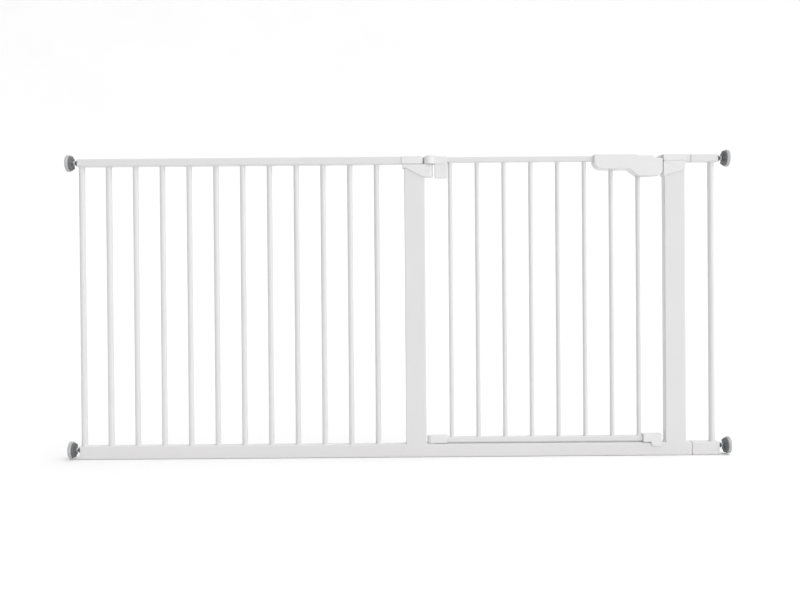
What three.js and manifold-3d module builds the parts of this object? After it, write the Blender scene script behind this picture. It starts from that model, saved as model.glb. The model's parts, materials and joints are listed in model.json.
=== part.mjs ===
// A pressure-fit safety gate for a wide opening. Millimetres, +Z up.
// The origin is on the floor, midway between the two walls. +X runs along the gate, and the door opens to
// the front, which is -Y. From left to right: end extension, long extension, gate frame with the door, end
// extension.

import * as THREE from 'three';
import { mergeVertices } from 'three/addons/utils/BufferGeometryUtils.js';
import Module from 'manifold-3d';

const wasm = await Module();
wasm.setup();

// Driving dimensions

const WALL_TO_WALL = 1610;
const TUBE_HALF_DEPTH = 12.5;
const TUBE_WALL = 1.5;
const TUBE_CORNER = 2.5;
const BOTTOM_RAIL_TOP = 32;
const TOP_RAIL_BOTTOM = 712;
const TOP_RAIL_TOP = 730;
const FRAME_HALF_LENGTH = 777;
const CLEARANCE = 0.3;
const WELD_OVERLAP = 1;

// Cutting tools run past the faces they open.
const OVERRUN = 1;
const TOOL_HALF_DEPTH = 20;
const TOOL_TOP = 740;

const LEFT_END_JOINT = -647;
const LONG_EXTENSION_JOINT = 7;
const STUB_RIGHT_END = 709;
const RIGHT_END_JOINT = 711.5;
const SPIGOT_LENGTH = 40;
const SPIGOT_CORNER = 2;
const CONNECTOR_WALL = 1.2;
const COLLAR_LENGTH = 6;
const COLLAR_BORE_INSET = 3;
const RAIL_END_WALL = 2;
const POST_GAP = 1;

const END_BAR_DIAMETER = 15;
const LONG_BAR_DIAMETER = 13.5;
const DOOR_BAR_DIAMETER = 11;
const BAR_WALL = 1;
const BAR_SIDES = 12;
const BAR_PITCH = 65.2;
const LEFT_END_BARS = [-768.5, -703];
const RIGHT_END_BARS = [762];
const LONG_BAR_COUNT = 10;
const LONG_FIRST_BAR = -638;
const DOOR_BAR_COUNT = 8;
const DOOR_FIRST_BAR = 128;

const HINGE_POST = { left: 16, right: 66, top: 728 };
const LATCH_POST = { left: 646, right: 696, top: 728 };
const HOUSING_HALF_DEPTH = 15;
const HOUSING_TOP = 730.5;
const HINGE_HOUSING = { left: 10, bandRight: 61, shieldRight: 59.5, right: 68.5, bottom: 702.5 };
const LATCH_HOUSING = { left: 644, right: 698.3, leftBottom: 677.5, rightBottom: 693.5 };
const BEAK = { left: 626, topLeft: 638, right: 645, bottom: 708.5, step: 720.9, front: 1, back: 12 };
const NOTCH_LEFT = 57;
const NOTCH_BOTTOM = 708.7;

const HINGE_X = 78;
const BARREL_RADIUS = 15;
const BARREL_SIDES = 32;
const EAR_SIDES = 24;
const ARM_HALF_DEPTH = 10;
const ARM_END = 121;
const ARM_TOP = 730;
const EAR_RADIUS = 8;
const EAR_SPACE_RADIUS = 12;
const UPPER_BUSH_RADIUS = 5.8;
const UPPER_BUSH_BOTTOM = 682;
const LOWER_BUSH_RADIUS = 8;
const LOWER_BUSH_BOTTOM = 10;
const LOWER_FLANGE = { radius: 11, bottom: BOTTOM_RAIL_TOP + 0.2, top: BOTTOM_RAIL_TOP + 1.1 };
const EAR_BOTTOM = 680.5;
const EAR_TOP = 711.3;
const BLOCK_BOTTOM = 678;
const BLOCK_HALF_DEPTH = 8;
const HINGE_CAP = { left: 69, right: 95.5, halfWidth: 8, height: 3.6, segments: 8 };
const UPPER_PIN_RADIUS = 4;
const UPPER_PIN_BOTTOM = 685;
const LOWER_PIN_RADIUS = 5;
const LOWER_PIN_BOTTOM = 14;
const LOWER_PIN_TOP = 48;

const DOOR_RAIL_HALF_DEPTH = 9;
const DOOR_RAIL_HEIGHT = 12.5;
const DOOR_RAIL_WALL = 1.2;
const DOOR_RAIL_CORNER = 2;
const DOOR_TOP_RAIL_LEFT = 106;
const DOOR_BOTTOM_RAIL_LEFT = 100;
const DOOR_BOTTOM_RAIL_RIGHT = 606;
const DOOR_TOP_RAIL_BOTTOM = 715.5;
const DOOR_BOTTOM_RAIL_BOTTOM = 35;
const DOOR_RAIL_END = 590.5;
const SHOE_TOP = 52;
const SHOE_BOTTOM = 33.4;
const SHOE_RADIUS = 10;
const HINGE_SHOE_RIGHT = 117;
const LATCH_SHOE = { left: 591, right: 636.5, front: -16, back: 11 };
const TONGUE = { left: 610, right: 635, back: -13.2, bottom: 23 };

const HANDLE_HALF_DEPTH = 19;
const HANDLE_WALL = 2.5;
const HANDLE_LEFT = 475;
const FRONT_SHELL_RIGHT = 641;
const REAR_SHELL_RIGHT = 622;
const HALF_SPLIT = 0.2;
const HANDLE_CURVE_SEGMENTS = 4;
const HANDLE_TOP = 731;
const HANDLE_BOTTOM = 694.8;
const HANDLE_DEEP_BOTTOM = 677.8;
const HANDLE_LOW_RADIUS = 20;
const HANDLE_TOP_RADIUS = 3;
const FRONT_END_RADIUS = 14;
const REAR_END_RADIUS = 4;
const DEEPENING = { left: 560, right: 582, shift: 0.37 };
const TOP_STEP = { left: 574, right: 582, z: 727.5, shift: 0.21 };
const NOSE = { left: 617, right: 622.5, frontTop: 720.5, rearTop: 721.1, shift: 0.49 };
const FIRST_BAR_IN_HANDLE = 6;
const BAR_HOLE_GAP = 0.5;

// Boxes, as x0, x1, y0, y1, z0, z1
const LATCH_NOTCH = [572, DOOR_RAIL_END + OVERRUN, -TOOL_HALF_DEPTH, TOOL_HALF_DEPTH, 722.5, TOOL_TOP];
const SLIDER_SLOT = [579, 615, -7.5, 7.5, 720.5, TOOL_TOP];
const SLIDER_PAD = [588, 612, -7, 7, 724, 729];
const SLIDER_STEM = [602, 610, -6, 6, 716.5, 724.5];
const BOLT_NOSE = [600, 636, -8, -1.5, 708.5, 716.5];
const BOLT_TAIL = [600, 612, -15, -1.5, 700.5, 716.5];
const SPRING_STOP = [561, 565.7, -17, -7.5, 701.5, 712];
const SPRING = { left: 566, right: 599.7, y: -11.2, z: 706.5, coilRadius: 3, wireRadius: 0.5, turns: 7 };
const SPRING_STEPS_PER_TURN = 10;
const WIRE_SIDES = 6;

const SPINDLE_RADIUS = 5;
const SPINDLE_LENGTH = 84;
const SPINDLE_SIDES = 16;
const SPINDLE_TO_PAD = 4;
const TOP_SPINDLE_Z = 721;
const BOTTOM_SPINDLE_Z = 22;
const NUT_THICKNESS = 5.7;
const NUT_ACROSS_FLATS = 17;
const CUP_RADIUS = 18.5;
const PAD_RADIUS = 20.5;
const PAD_THICKNESS = 8;
const PAD_CHAMFER = 1;
const CUP_DEPTH = 9;
// The cup's dome, as radius and distance from its back.
const CUP_DOME = [[8.5, 0], [8.5, 1], [13.5, 2.2], [17.5, 5]];
const ROUND_SIDES = 20;

// Materials

const whitePaint = new THREE.MeshStandardMaterial({ color: 0xe6e7ea, roughness: 0.35, metalness: 0 });
const whitePlastic = new THREE.MeshStandardMaterial({ color: 0xe9eaed, roughness: 0.45, metalness: 0 });
const darkPlastic = new THREE.MeshStandardMaterial({ color: 0x2a2c2f, roughness: 0.5, metalness: 0 });
const cupPlastic = new THREE.MeshStandardMaterial({ color: 0x6d7276, roughness: 0.5, metalness: 0 });
const padRubber = new THREE.MeshStandardMaterial({ color: 0xb4b7ba, roughness: 0.8, metalness: 0 });
const bushPlastic = new THREE.MeshStandardMaterial({ color: 0xdcdcd8, roughness: 0.5, metalness: 0 });
const plainSteel = new THREE.MeshStandardMaterial({ color: 0xa9acb0, roughness: 0.35, metalness: 1 });

const gate = new THREE.Group();

function addNode(name, geometry, material) {
  const mesh = new THREE.Mesh(geometry, material);
  mesh.name = name;
  gate.add(mesh);
}

// Solids and booleans

function solidOf(geometry) {
  const bare = geometry.clone();
  bare.deleteAttribute('normal');
  bare.deleteAttribute('uv');
  const merged = mergeVertices(bare, 1e-4);
  return new wasm.Manifold(new wasm.Mesh({
    numProp: 3,
    vertProperties: new Float32Array(merged.attributes.position.array),
    triVerts: new Uint32Array(merged.index.array),
  }));
}

function geometryOf(solid) {
  const mesh = solid.getMesh();
  const geometry = new THREE.BufferGeometry();
  geometry.setAttribute('position', new THREE.BufferAttribute(new Float32Array(mesh.vertProperties), 3));
  geometry.setIndex(new THREE.BufferAttribute(new Uint32Array(mesh.triVerts), 1));
  return geometry;
}

function join(parts) {
  return parts.reduce((whole, part) => whole.add(part));
}

function cut(solid, tools) {
  return tools.reduce((left, tool) => left.subtract(tool), solid);
}

// Outlines are drawn in a plane and extruded along one axis of the gate.

const ALONG_X = new THREE.Matrix4().set(0, 0, 1, 0, 1, 0, 0, 0, 0, 1, 0, 0, 0, 0, 0, 1);
const ALONG_Y = new THREE.Matrix4().set(1, 0, 0, 0, 0, 0, -1, 0, 0, 1, 0, 0, 0, 0, 0, 1);

function extrude(shape, length, segments = 3) {
  return new THREE.ExtrudeGeometry(shape, { depth: length, bevelEnabled: false, curveSegments: segments });
}

// An outline in (Y, Z), from x0 to x1.
function prismX(shape, x0, x1, segments) {
  return extrude(shape, x1 - x0, segments).applyMatrix4(ALONG_X).translate(x0, 0, 0);
}

// An outline in (X, Z), from y0 to y1.
function prismY(shape, y0, y1, segments) {
  return extrude(shape, y1 - y0, segments).applyMatrix4(ALONG_Y).translate(0, y1, 0);
}

// An outline in (X, Y), from z0 to z1.
function prismZ(shape, z0, z1, segments) {
  return extrude(shape, z1 - z0, segments).translate(0, 0, z0);
}

function polygon(points) {
  return new THREE.Shape(points.map(([u, v]) => new THREE.Vector2(u, v)));
}

function roundedRectangle(u0, u1, v0, v1, radius) {
  const shape = new THREE.Shape();
  shape.absarc(u1 - radius, v0 + radius, radius, -Math.PI / 2, 0);
  shape.absarc(u1 - radius, v1 - radius, radius, 0, Math.PI / 2);
  shape.absarc(u0 + radius, v1 - radius, radius, Math.PI / 2, Math.PI);
  shape.absarc(u0 + radius, v0 + radius, radius, Math.PI, Math.PI * 1.5);
  return shape;
}

function circleOutline(u, v, radius, sides) {
  const points = [];
  for (let i = 0; i < sides; i += 1) {
    const angle = (2 * Math.PI * i) / sides;
    points.push([u + radius * Math.cos(angle), v + radius * Math.sin(angle)]);
  }
  return polygon(points);
}

function block(x0, x1, y0, y1, z0, z1) {
  const box = new THREE.BoxGeometry(x1 - x0, y1 - y0, z1 - z0);
  return solidOf(box.translate((x0 + x1) / 2, (y0 + y1) / 2, (z0 + z1) / 2));
}

function rodX(x0, x1, z, radius, sides = ROUND_SIDES) {
  return solidOf(prismX(circleOutline(0, z, radius, sides), x0, x1));
}

function rodZ(x, z0, z1, radius, sides = ROUND_SIDES) {
  return solidOf(prismZ(circleOutline(x, 0, radius, sides), z0, z1));
}

// A rectangular tube's section, with its bore as a hole.
function tubeSection(u0, u1, v0, v1, wall, corner) {
  const shape = roundedRectangle(u0, u1, v0, v1, corner);
  shape.holes.push(roundedRectangle(u0 + wall, u1 - wall, v0 + wall, v1 - wall, corner - wall));
  return shape;
}

function railX(x0, x1, halfDepth, z0, z1, wall = TUBE_WALL, corner = TUBE_CORNER) {
  return prismX(tubeSection(-halfDepth, halfDepth, z0, z1, wall, corner), x0, x1);
}

function barZ(x, z0, z1, diameter) {
  const section = circleOutline(x, 0, diameter / 2, BAR_SIDES);
  section.holes.push(circleOutline(x, 0, diameter / 2 - BAR_WALL, BAR_SIDES));
  return prismZ(section, z0, z1);
}

// Gate frame

function addGateFrame() {
  const rail = solidOf(railX(LONG_EXTENSION_JOINT, STUB_RIGHT_END, TUBE_HALF_DEPTH, 0, BOTTOM_RAIL_TOP));
  const holeBottom = BOTTOM_RAIL_TOP - TUBE_WALL - OVERRUN;
  const bushHole = rodZ(HINGE_X, holeBottom, BOTTOM_RAIL_TOP + OVERRUN, LOWER_BUSH_RADIUS + CLEARANCE);
  addNode('frame_bottom_rail', geometryOf(cut(rail, [bushHole])), whitePaint);
  addNode('hinge_post', geometryOf(hingePost()), whitePaint);
  addNode('latch_post', geometryOf(latchPost()), whitePaint);
}

function postTube(post) {
  const half = TUBE_HALF_DEPTH;
  const section = tubeSection(post.left, post.right, -half, half, TUBE_WALL, TUBE_CORNER);
  return solidOf(prismZ(section, BOTTOM_RAIL_TOP, post.top));
}

function topRailStub(x0, x1) {
  return solidOf(railX(x0, x1, TUBE_HALF_DEPTH, TOP_RAIL_BOTTOM, TOP_RAIL_TOP));
}

// The post's top is notched for the hinge arm's barrel, and a stub of top rail is welded to its left side.
function hingePost() {
  const notchRight = HINGE_POST.right + OVERRUN;
  const notch = block(NOTCH_LEFT, notchRight, -TOOL_HALF_DEPTH, TOOL_HALF_DEPTH, NOTCH_BOTTOM, TOOL_TOP);
  const stub = topRailStub(LONG_EXTENSION_JOINT, HINGE_POST.left + WELD_OVERLAP);
  return cut(postTube(HINGE_POST), [notch]).add(stub);
}

function latchPost() {
  return postTube(LATCH_POST).add(topRailStub(LATCH_POST.right - WELD_OVERLAP, STUB_RIGHT_END));
}

// Hinge housing: a cap over the hinge post with an ear that holds the upper bush.
function addHingeHousing() {
  const { left, bandRight, shieldRight, right, bottom } = HINGE_HOUSING;
  const outline = polygon([
    [left, bottom], [HINGE_POST.left, bottom], [shieldRight, EAR_BOTTOM], [right, EAR_BOTTOM],
    [right, EAR_TOP], [bandRight, EAR_TOP], [bandRight, HOUSING_TOP], [left, HOUSING_TOP],
  ]);
  const body = solidOf(prismY(outline, -HOUSING_HALF_DEPTH, HOUSING_HALF_DEPTH));
  const web = block(right - WELD_OVERLAP, HINGE_X, -EAR_RADIUS, EAR_RADIUS, EAR_BOTTOM, EAR_TOP);
  const ear = rodZ(HINGE_X, EAR_BOTTOM, EAR_TOP, EAR_RADIUS, EAR_SIDES);
  const inside = TUBE_HALF_DEPTH + CLEARANCE;
  const low = EAR_BOTTOM - OVERRUN;
  const postLeft = HINGE_POST.left - CLEARANCE;
  const stubEnd = HINGE_POST.left + WELD_OVERLAP + CLEARANCE;
  const pockets = [
    block(postLeft, HINGE_POST.right + CLEARANCE, -inside, inside, low, NOTCH_BOTTOM + CLEARANCE),
    block(postLeft, NOTCH_LEFT + CLEARANCE, -inside, inside, low, HINGE_POST.top + CLEARANCE),
    block(left - OVERRUN, stubEnd, -inside, inside, TOP_RAIL_BOTTOM - CLEARANCE, TOOL_TOP),
    rodZ(HINGE_X, EAR_TOP, TOOL_TOP, BARREL_RADIUS + 2 * CLEARANCE, BARREL_SIDES),
    rodZ(HINGE_X, low, EAR_TOP + OVERRUN, UPPER_BUSH_RADIUS + CLEARANCE, EAR_SIDES),
  ];
  addNode('hinge_housing', geometryOf(cut(join([body, web, ear]), pockets)), whitePlastic);
}

// Latch housing: a cap over the latch post with a beak that reaches behind the handle's front shell.
function addLatchHousing() {
  const { left, right, leftBottom, rightBottom } = LATCH_HOUSING;
  const outline = polygon([
    [left, leftBottom], [right, rightBottom], [right, HOUSING_TOP], [left, HOUSING_TOP],
  ]);
  const body = solidOf(prismY(outline, -HOUSING_HALF_DEPTH, HOUSING_HALF_DEPTH));
  const beakOutline = polygon([
    [BEAK.left, BEAK.bottom], [BEAK.right, BEAK.bottom], [BEAK.right, HOUSING_TOP],
    [BEAK.topLeft, HOUSING_TOP], [BEAK.left, BEAK.step],
  ]);
  const beak = solidOf(prismY(beakOutline, BEAK.front, BEAK.back));
  const inside = TUBE_HALF_DEPTH + CLEARANCE;
  const postLeft = LATCH_POST.left - CLEARANCE;
  const postRight = LATCH_POST.right + CLEARANCE;
  const stubStart = LATCH_POST.right - WELD_OVERLAP - CLEARANCE;
  const pockets = [
    block(postLeft, postRight, -inside, inside, leftBottom - OVERRUN, LATCH_POST.top + CLEARANCE),
    block(stubStart, right + OVERRUN, -inside, inside, TOP_RAIL_BOTTOM - CLEARANCE, TOOL_TOP),
  ];
  addNode('latch_housing', geometryOf(cut(body.add(beak), pockets)), whitePlastic);
}

// Long extension

function addLongExtension() {
  const top = railX(LEFT_END_JOINT, LONG_EXTENSION_JOINT, TUBE_HALF_DEPTH, TOP_RAIL_BOTTOM, TOP_RAIL_TOP);
  const bottom = railX(LEFT_END_JOINT, LONG_EXTENSION_JOINT, TUBE_HALF_DEPTH, 0, BOTTOM_RAIL_TOP);
  addNode('extension_top_rail', top, whitePaint);
  addNode('extension_bottom_rail', bottom, whitePaint);
  for (let i = 0; i < LONG_BAR_COUNT; i += 1) {
    const x = LONG_FIRST_BAR + i * BAR_PITCH;
    const name = `extension_bar_${String(i + 1).padStart(2, '0')}`;
    addNode(name, barZ(x, BOTTOM_RAIL_TOP, TOP_RAIL_BOTTOM, LONG_BAR_DIAMETER), whitePaint);
  }
}

// End extensions: two rails and their bars welded into one panel. Each rail's outer end is closed round the
// spindle, and a spigot on its inner end goes into the neighbouring tube.

function innerTube(x0, x1, z0, z1) {
  const gap = TUBE_WALL + CLEARANCE;
  return solidOf(railX(x0, x1, TUBE_HALF_DEPTH - gap, z0 + gap, z1 - gap, CONNECTOR_WALL, SPIGOT_CORNER));
}

// A block inside a rail, from one X to another in either order.
function railFilling(a, b, z0, z1, inset) {
  const half = TUBE_HALF_DEPTH - inset;
  return block(Math.min(a, b), Math.max(a, b), -half, half, z0 + inset, z1 - inset);
}

function endRail(side, joint, z0, z1, spigotEnd, spindleZ) {
  const outer = side * FRAME_HALF_LENGTH;
  const overlap = joint + side * COLLAR_LENGTH;
  const tube = solidOf(railX(Math.min(outer, joint), Math.max(outer, joint), TUBE_HALF_DEPTH, z0, z1));
  const endWall = railFilling(outer, outer - side * RAIL_END_WALL, z0, z1, WELD_OVERLAP);
  const spigot = innerTube(Math.min(spigotEnd, overlap), Math.max(spigotEnd, overlap), z0, z1);
  const collar = railFilling(joint, overlap, z0, z1, WELD_OVERLAP);
  const bore = railFilling(joint - side * OVERRUN, overlap + side * OVERRUN, z0, z1, COLLAR_BORE_INSET);
  const reach = RAIL_END_WALL + OVERRUN;
  const spindleHole = rodX(outer - reach, outer + reach, spindleZ, SPINDLE_RADIUS + CLEARANCE);
  return cut(join([tube, endWall, cut(collar, [bore]), spigot]), [spindleHole]);
}

function endExtension(side, joint, bars, topSpigotEnd, bottomSpigotEnd) {
  const rails = [
    endRail(side, joint, 0, BOTTOM_RAIL_TOP, bottomSpigotEnd, BOTTOM_SPINDLE_Z),
    endRail(side, joint, TOP_RAIL_BOTTOM, TOP_RAIL_TOP, topSpigotEnd, TOP_SPINDLE_Z),
  ];
  const low = BOTTOM_RAIL_TOP - WELD_OVERLAP;
  const high = TOP_RAIL_BOTTOM + WELD_OVERLAP;
  const through = TUBE_WALL + OVERRUN;
  const radius = END_BAR_DIAMETER / 2;
  const tubes = bars.map((x) => rodZ(x, low, high, radius, BAR_SIDES));
  const bores = bars.map((x) => rodZ(x, low - through, high + through, radius - BAR_WALL, BAR_SIDES));
  return geometryOf(cut(join([...rails, ...tubes]), bores));
}

function addEndExtensions() {
  const intoLong = LEFT_END_JOINT + SPIGOT_LENGTH;
  const leftEnd = endExtension(-1, LEFT_END_JOINT, LEFT_END_BARS, intoLong, intoLong);
  addNode('left_end_extension', leftEnd, whitePaint);
  const intoStub = LATCH_POST.right + POST_GAP;
  const intoFrame = STUB_RIGHT_END - SPIGOT_LENGTH;
  const rightEnd = endExtension(1, RIGHT_END_JOINT, RIGHT_END_BARS, intoStub, intoFrame);
  addNode('right_end_extension', rightEnd, whitePaint);
}

// Connectors: short inner tubes that join the long extension to the gate frame.
function addConnectors() {
  const left = LONG_EXTENSION_JOINT - SPIGOT_LENGTH;
  const top = innerTube(left, HINGE_POST.left - POST_GAP, TOP_RAIL_BOTTOM, TOP_RAIL_TOP);
  const bottom = innerTube(left, LONG_EXTENSION_JOINT + SPIGOT_LENGTH, 0, BOTTOM_RAIL_TOP);
  addNode('connector_top', geometryOf(top), plainSteel);
  addNode('connector_bottom', geometryOf(bottom), plainSteel);
}

// Door

function doorRail(x0, x1, bottom) {
  const top = bottom + DOOR_RAIL_HEIGHT;
  return railX(x0, x1, DOOR_RAIL_HALF_DEPTH, bottom, top, DOOR_RAIL_WALL, DOOR_RAIL_CORNER);
}

function addDoor() {
  const topRail = solidOf(doorRail(DOOR_TOP_RAIL_LEFT, DOOR_RAIL_END, DOOR_TOP_RAIL_BOTTOM));
  addNode('door_top_rail', geometryOf(cut(topRail, [block(...LATCH_NOTCH)])), whitePaint);
  const bottomRail = doorRail(DOOR_BOTTOM_RAIL_LEFT, DOOR_BOTTOM_RAIL_RIGHT, DOOR_BOTTOM_RAIL_BOTTOM);
  addNode('door_bottom_rail', bottomRail, whitePaint);
  const barBottom = DOOR_BOTTOM_RAIL_BOTTOM + DOOR_RAIL_HEIGHT;
  for (let i = 0; i < DOOR_BAR_COUNT; i += 1) {
    const x = DOOR_FIRST_BAR + i * BAR_PITCH;
    addNode(`door_bar_${i + 1}`, barZ(x, barBottom, DOOR_TOP_RAIL_BOTTOM, DOOR_BAR_DIAMETER), whitePaint);
  }
}

function doorRailSocket(x0, x1, bottom) {
  const half = DOOR_RAIL_HALF_DEPTH + CLEARANCE;
  return block(x0, x1, -half, half, bottom - CLEARANCE, bottom + DOOR_RAIL_HEIGHT + CLEARANCE);
}

// The arm's barrel turns over the ear, its block hangs beside the first bar, and the door's top rail plugs
// into it.
function addHingeArm() {
  const barrel = rodZ(HINGE_X, TOP_RAIL_BOTTOM, ARM_TOP, BARREL_RADIUS, BARREL_SIDES);
  const arm = block(HINGE_X, ARM_END, -ARM_HALF_DEPTH, ARM_HALF_DEPTH, TOP_RAIL_BOTTOM, ARM_TOP);
  const hangerLeft = HINGE_X + EAR_SPACE_RADIUS;
  const half = BLOCK_HALF_DEPTH;
  const hanger = block(hangerLeft, ARM_END, -half, half, BLOCK_BOTTOM, TOP_RAIL_BOTTOM);
  const pinBore = rodZ(HINGE_X, TOP_RAIL_BOTTOM - OVERRUN, TOOL_TOP, UPPER_PIN_RADIUS + CLEARANCE);
  const socket = doorRailSocket(DOOR_TOP_RAIL_LEFT - CLEARANCE, ARM_END + OVERRUN, DOOR_TOP_RAIL_BOTTOM);
  addNode('hinge_arm', geometryOf(cut(join([barrel, arm, hanger]), [pinBore, socket])), whitePlastic);
}

function stadium(u0, u1, halfWidth) {
  const shape = new THREE.Shape();
  shape.absarc(u1 - halfWidth, 0, halfWidth, -Math.PI / 2, Math.PI / 2);
  shape.absarc(u0 + halfWidth, 0, halfWidth, Math.PI / 2, Math.PI * 1.5);
  return shape;
}

function addHingeCapAndPins() {
  const capOutline = stadium(HINGE_CAP.left, HINGE_CAP.right, HINGE_CAP.halfWidth);
  const cap = prismZ(capOutline, ARM_TOP, ARM_TOP + HINGE_CAP.height, HINGE_CAP.segments);
  addNode('hinge_cap', cap, whitePlastic);
  const upperPin = rodZ(HINGE_X, UPPER_PIN_BOTTOM, ARM_TOP - CLEARANCE, UPPER_PIN_RADIUS);
  addNode('upper_hinge_pin', geometryOf(upperPin), plainSteel);
  const lowerPin = rodZ(HINGE_X, LOWER_PIN_BOTTOM, LOWER_PIN_TOP, LOWER_PIN_RADIUS);
  addNode('lower_hinge_pin', geometryOf(lowerPin), plainSteel);
}

function addBushes() {
  const upperSleeve = rodZ(HINGE_X, UPPER_BUSH_BOTTOM, EAR_TOP, UPPER_BUSH_RADIUS, EAR_SIDES);
  const upperRadius = UPPER_PIN_RADIUS + CLEARANCE;
  const upperBore = rodZ(HINGE_X, UPPER_BUSH_BOTTOM - OVERRUN, EAR_TOP + OVERRUN, upperRadius);
  addNode('upper_bush', geometryOf(cut(upperSleeve, [upperBore])), bushPlastic);
  const { radius, bottom, top } = LOWER_FLANGE;
  const sleeve = rodZ(HINGE_X, LOWER_BUSH_BOTTOM, top, LOWER_BUSH_RADIUS);
  const flange = rodZ(HINGE_X, bottom, top, radius);
  const lowerRadius = LOWER_PIN_RADIUS + CLEARANCE;
  const lowerBore = rodZ(HINGE_X, LOWER_BUSH_BOTTOM - OVERRUN, top + OVERRUN, lowerRadius);
  addNode('lower_bush', geometryOf(cut(sleeve.add(flange), [lowerBore])), bushPlastic);
}

// Both shoes close the ends of the door's bottom rail. The latch shoe's tongue hangs in front of the frame.
function addShoes() {
  const bottom = DOOR_BOTTOM_RAIL_BOTTOM;
  const pivot = rodZ(HINGE_X, SHOE_BOTTOM, SHOE_TOP, SHOE_RADIUS, EAR_SIDES);
  const foot = block(HINGE_X, HINGE_SHOE_RIGHT, -SHOE_RADIUS, SHOE_RADIUS, SHOE_BOTTOM, SHOE_TOP);
  const hingeCuts = [
    rodZ(HINGE_X, SHOE_BOTTOM - OVERRUN, LOWER_PIN_TOP + CLEARANCE, LOWER_PIN_RADIUS + CLEARANCE),
    doorRailSocket(DOOR_BOTTOM_RAIL_LEFT - CLEARANCE, HINGE_SHOE_RIGHT + OVERRUN, bottom),
  ];
  addNode('hinge_shoe', geometryOf(cut(pivot.add(foot), hingeCuts)), whitePlastic);
  const { left, right, front, back } = LATCH_SHOE;
  const body = block(left, right, front, back, SHOE_BOTTOM, SHOE_TOP);
  const tongueTop = SHOE_BOTTOM + WELD_OVERLAP;
  const tongue = block(TONGUE.left, TONGUE.right, front, TONGUE.back, TONGUE.bottom, tongueTop);
  const socket = doorRailSocket(left - OVERRUN, DOOR_BOTTOM_RAIL_RIGHT + CLEARANCE, bottom);
  addNode('latch_shoe', geometryOf(cut(body.add(tongue), [socket])), whitePlastic);
}

// Handle

// The handle's outline in (X, Z), inset by a wall. It steps down over the slider, dips to the nose at the
// beak, and is deeper at the latch end than along the grip. A slanted edge's ends shift along X as the wall
// insets it.
function handleOutline(inset, right) {
  const left = HANDLE_LEFT + inset;
  const end = right - inset;
  const top = HANDLE_TOP - inset;
  const stepTop = TOP_STEP.z - inset;
  const bottom = HANDLE_BOTTOM + inset;
  const deepBottom = HANDLE_DEEP_BOTTOM + inset;
  const isFront = right === FRONT_SHELL_RIGHT;
  const corner = (isFront ? FRONT_END_RADIUS : REAR_END_RADIUS) - inset / 2;
  const lowRadius = HANDLE_LOW_RADIUS - inset;
  const shape = new THREE.Shape();
  shape.absarc(left + lowRadius, bottom + lowRadius, lowRadius, Math.PI, Math.PI * 1.5);
  shape.lineTo(DEEPENING.left + DEEPENING.shift * inset, bottom);
  shape.lineTo(DEEPENING.right + DEEPENING.shift * inset, deepBottom);
  shape.absarc(end - corner, deepBottom + corner, corner, -Math.PI / 2, 0);
  if (isFront) {
    shape.lineTo(end, NOSE.frontTop - inset);
    shape.lineTo(NOSE.right - NOSE.shift * inset, NOSE.frontTop - inset);
  } else {
    shape.lineTo(end, NOSE.rearTop - inset);
  }
  shape.lineTo(NOSE.left - NOSE.shift * inset, stepTop);
  shape.lineTo(TOP_STEP.right - TOP_STEP.shift * inset, stepTop);
  shape.lineTo(TOP_STEP.left - TOP_STEP.shift * inset, top);
  shape.absarc(left + HANDLE_TOP_RADIUS, top - HANDLE_TOP_RADIUS, HANDLE_TOP_RADIUS, Math.PI / 2, Math.PI);
  return shape;
}

// A prism of the handle's outline on one side of the parting line, between two depths.
function handlePrism(inset, right, side, near, far) {
  const [y0, y1] = [side * near, side * far].sort((a, b) => a - b);
  return solidOf(prismY(handleOutline(inset, right), y0, y1, HANDLE_CURVE_SEGMENTS));
}

function handleShell(side, right) {
  const shell = handlePrism(0, right, side, HALF_SPLIT, HANDLE_HALF_DEPTH);
  const cavity = handlePrism(HANDLE_WALL, right, side, -OVERRUN, HANDLE_HALF_DEPTH - HANDLE_WALL);
  const railHole = doorRailSocket(HANDLE_LEFT - OVERRUN, HANDLE_LEFT + 2 * HANDLE_WALL, DOOR_TOP_RAIL_BOTTOM);
  const cuts = [cavity, railHole, block(...SLIDER_SLOT)];
  const low = HANDLE_DEEP_BOTTOM - OVERRUN;
  const high = HANDLE_BOTTOM + HANDLE_WALL + OVERRUN;
  for (let i = FIRST_BAR_IN_HANDLE; i < DOOR_BAR_COUNT; i += 1) {
    const x = DOOR_FIRST_BAR + i * BAR_PITCH;
    cuts.push(rodZ(x, low, high, DOOR_BAR_DIAMETER / 2 + BAR_HOLE_GAP, BAR_SIDES));
  }
  return cut(shell, cuts);
}

function addHandle() {
  const front = handleShell(-1, FRONT_SHELL_RIGHT).add(block(...SPRING_STOP));
  addNode('handle_front_shell', geometryOf(front), whitePlastic);
  addNode('handle_rear_shell', geometryOf(handleShell(1, REAR_SHELL_RIGHT)), whitePlastic);
}

// Latch: the thumb slider moves the bolt, and the spring pushes both back towards the latch post.
function addLatch() {
  addNode('thumb_slider', geometryOf(block(...SLIDER_PAD).add(block(...SLIDER_STEM))), whitePlastic);
  addNode('latch_bolt', geometryOf(block(...BOLT_NOSE).add(block(...BOLT_TAIL))), darkPlastic);
  addNode('latch_spring', springX(SPRING), plainSteel);
}

// A helical spring along X, from left to right, at (y, z).
function springX({ left, right, y, z, coilRadius, wireRadius, turns }) {
  const points = [];
  const steps = turns * SPRING_STEPS_PER_TURN;
  const start = left + wireRadius + CLEARANCE;
  const end = right - wireRadius - CLEARANCE;
  for (let i = 0; i <= steps; i += 1) {
    const angle = (2 * Math.PI * turns * i) / steps;
    const x = start + ((end - start) * i) / steps;
    points.push(new THREE.Vector3(x, y + coilRadius * Math.cos(angle), z + coilRadius * Math.sin(angle)));
  }
  const path = new THREE.CatmullRomCurve3(points);
  return new THREE.ExtrudeGeometry(circleOutline(0, 0, wireRadius, WIRE_SIDES), { steps, extrudePath: path });
}

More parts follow.
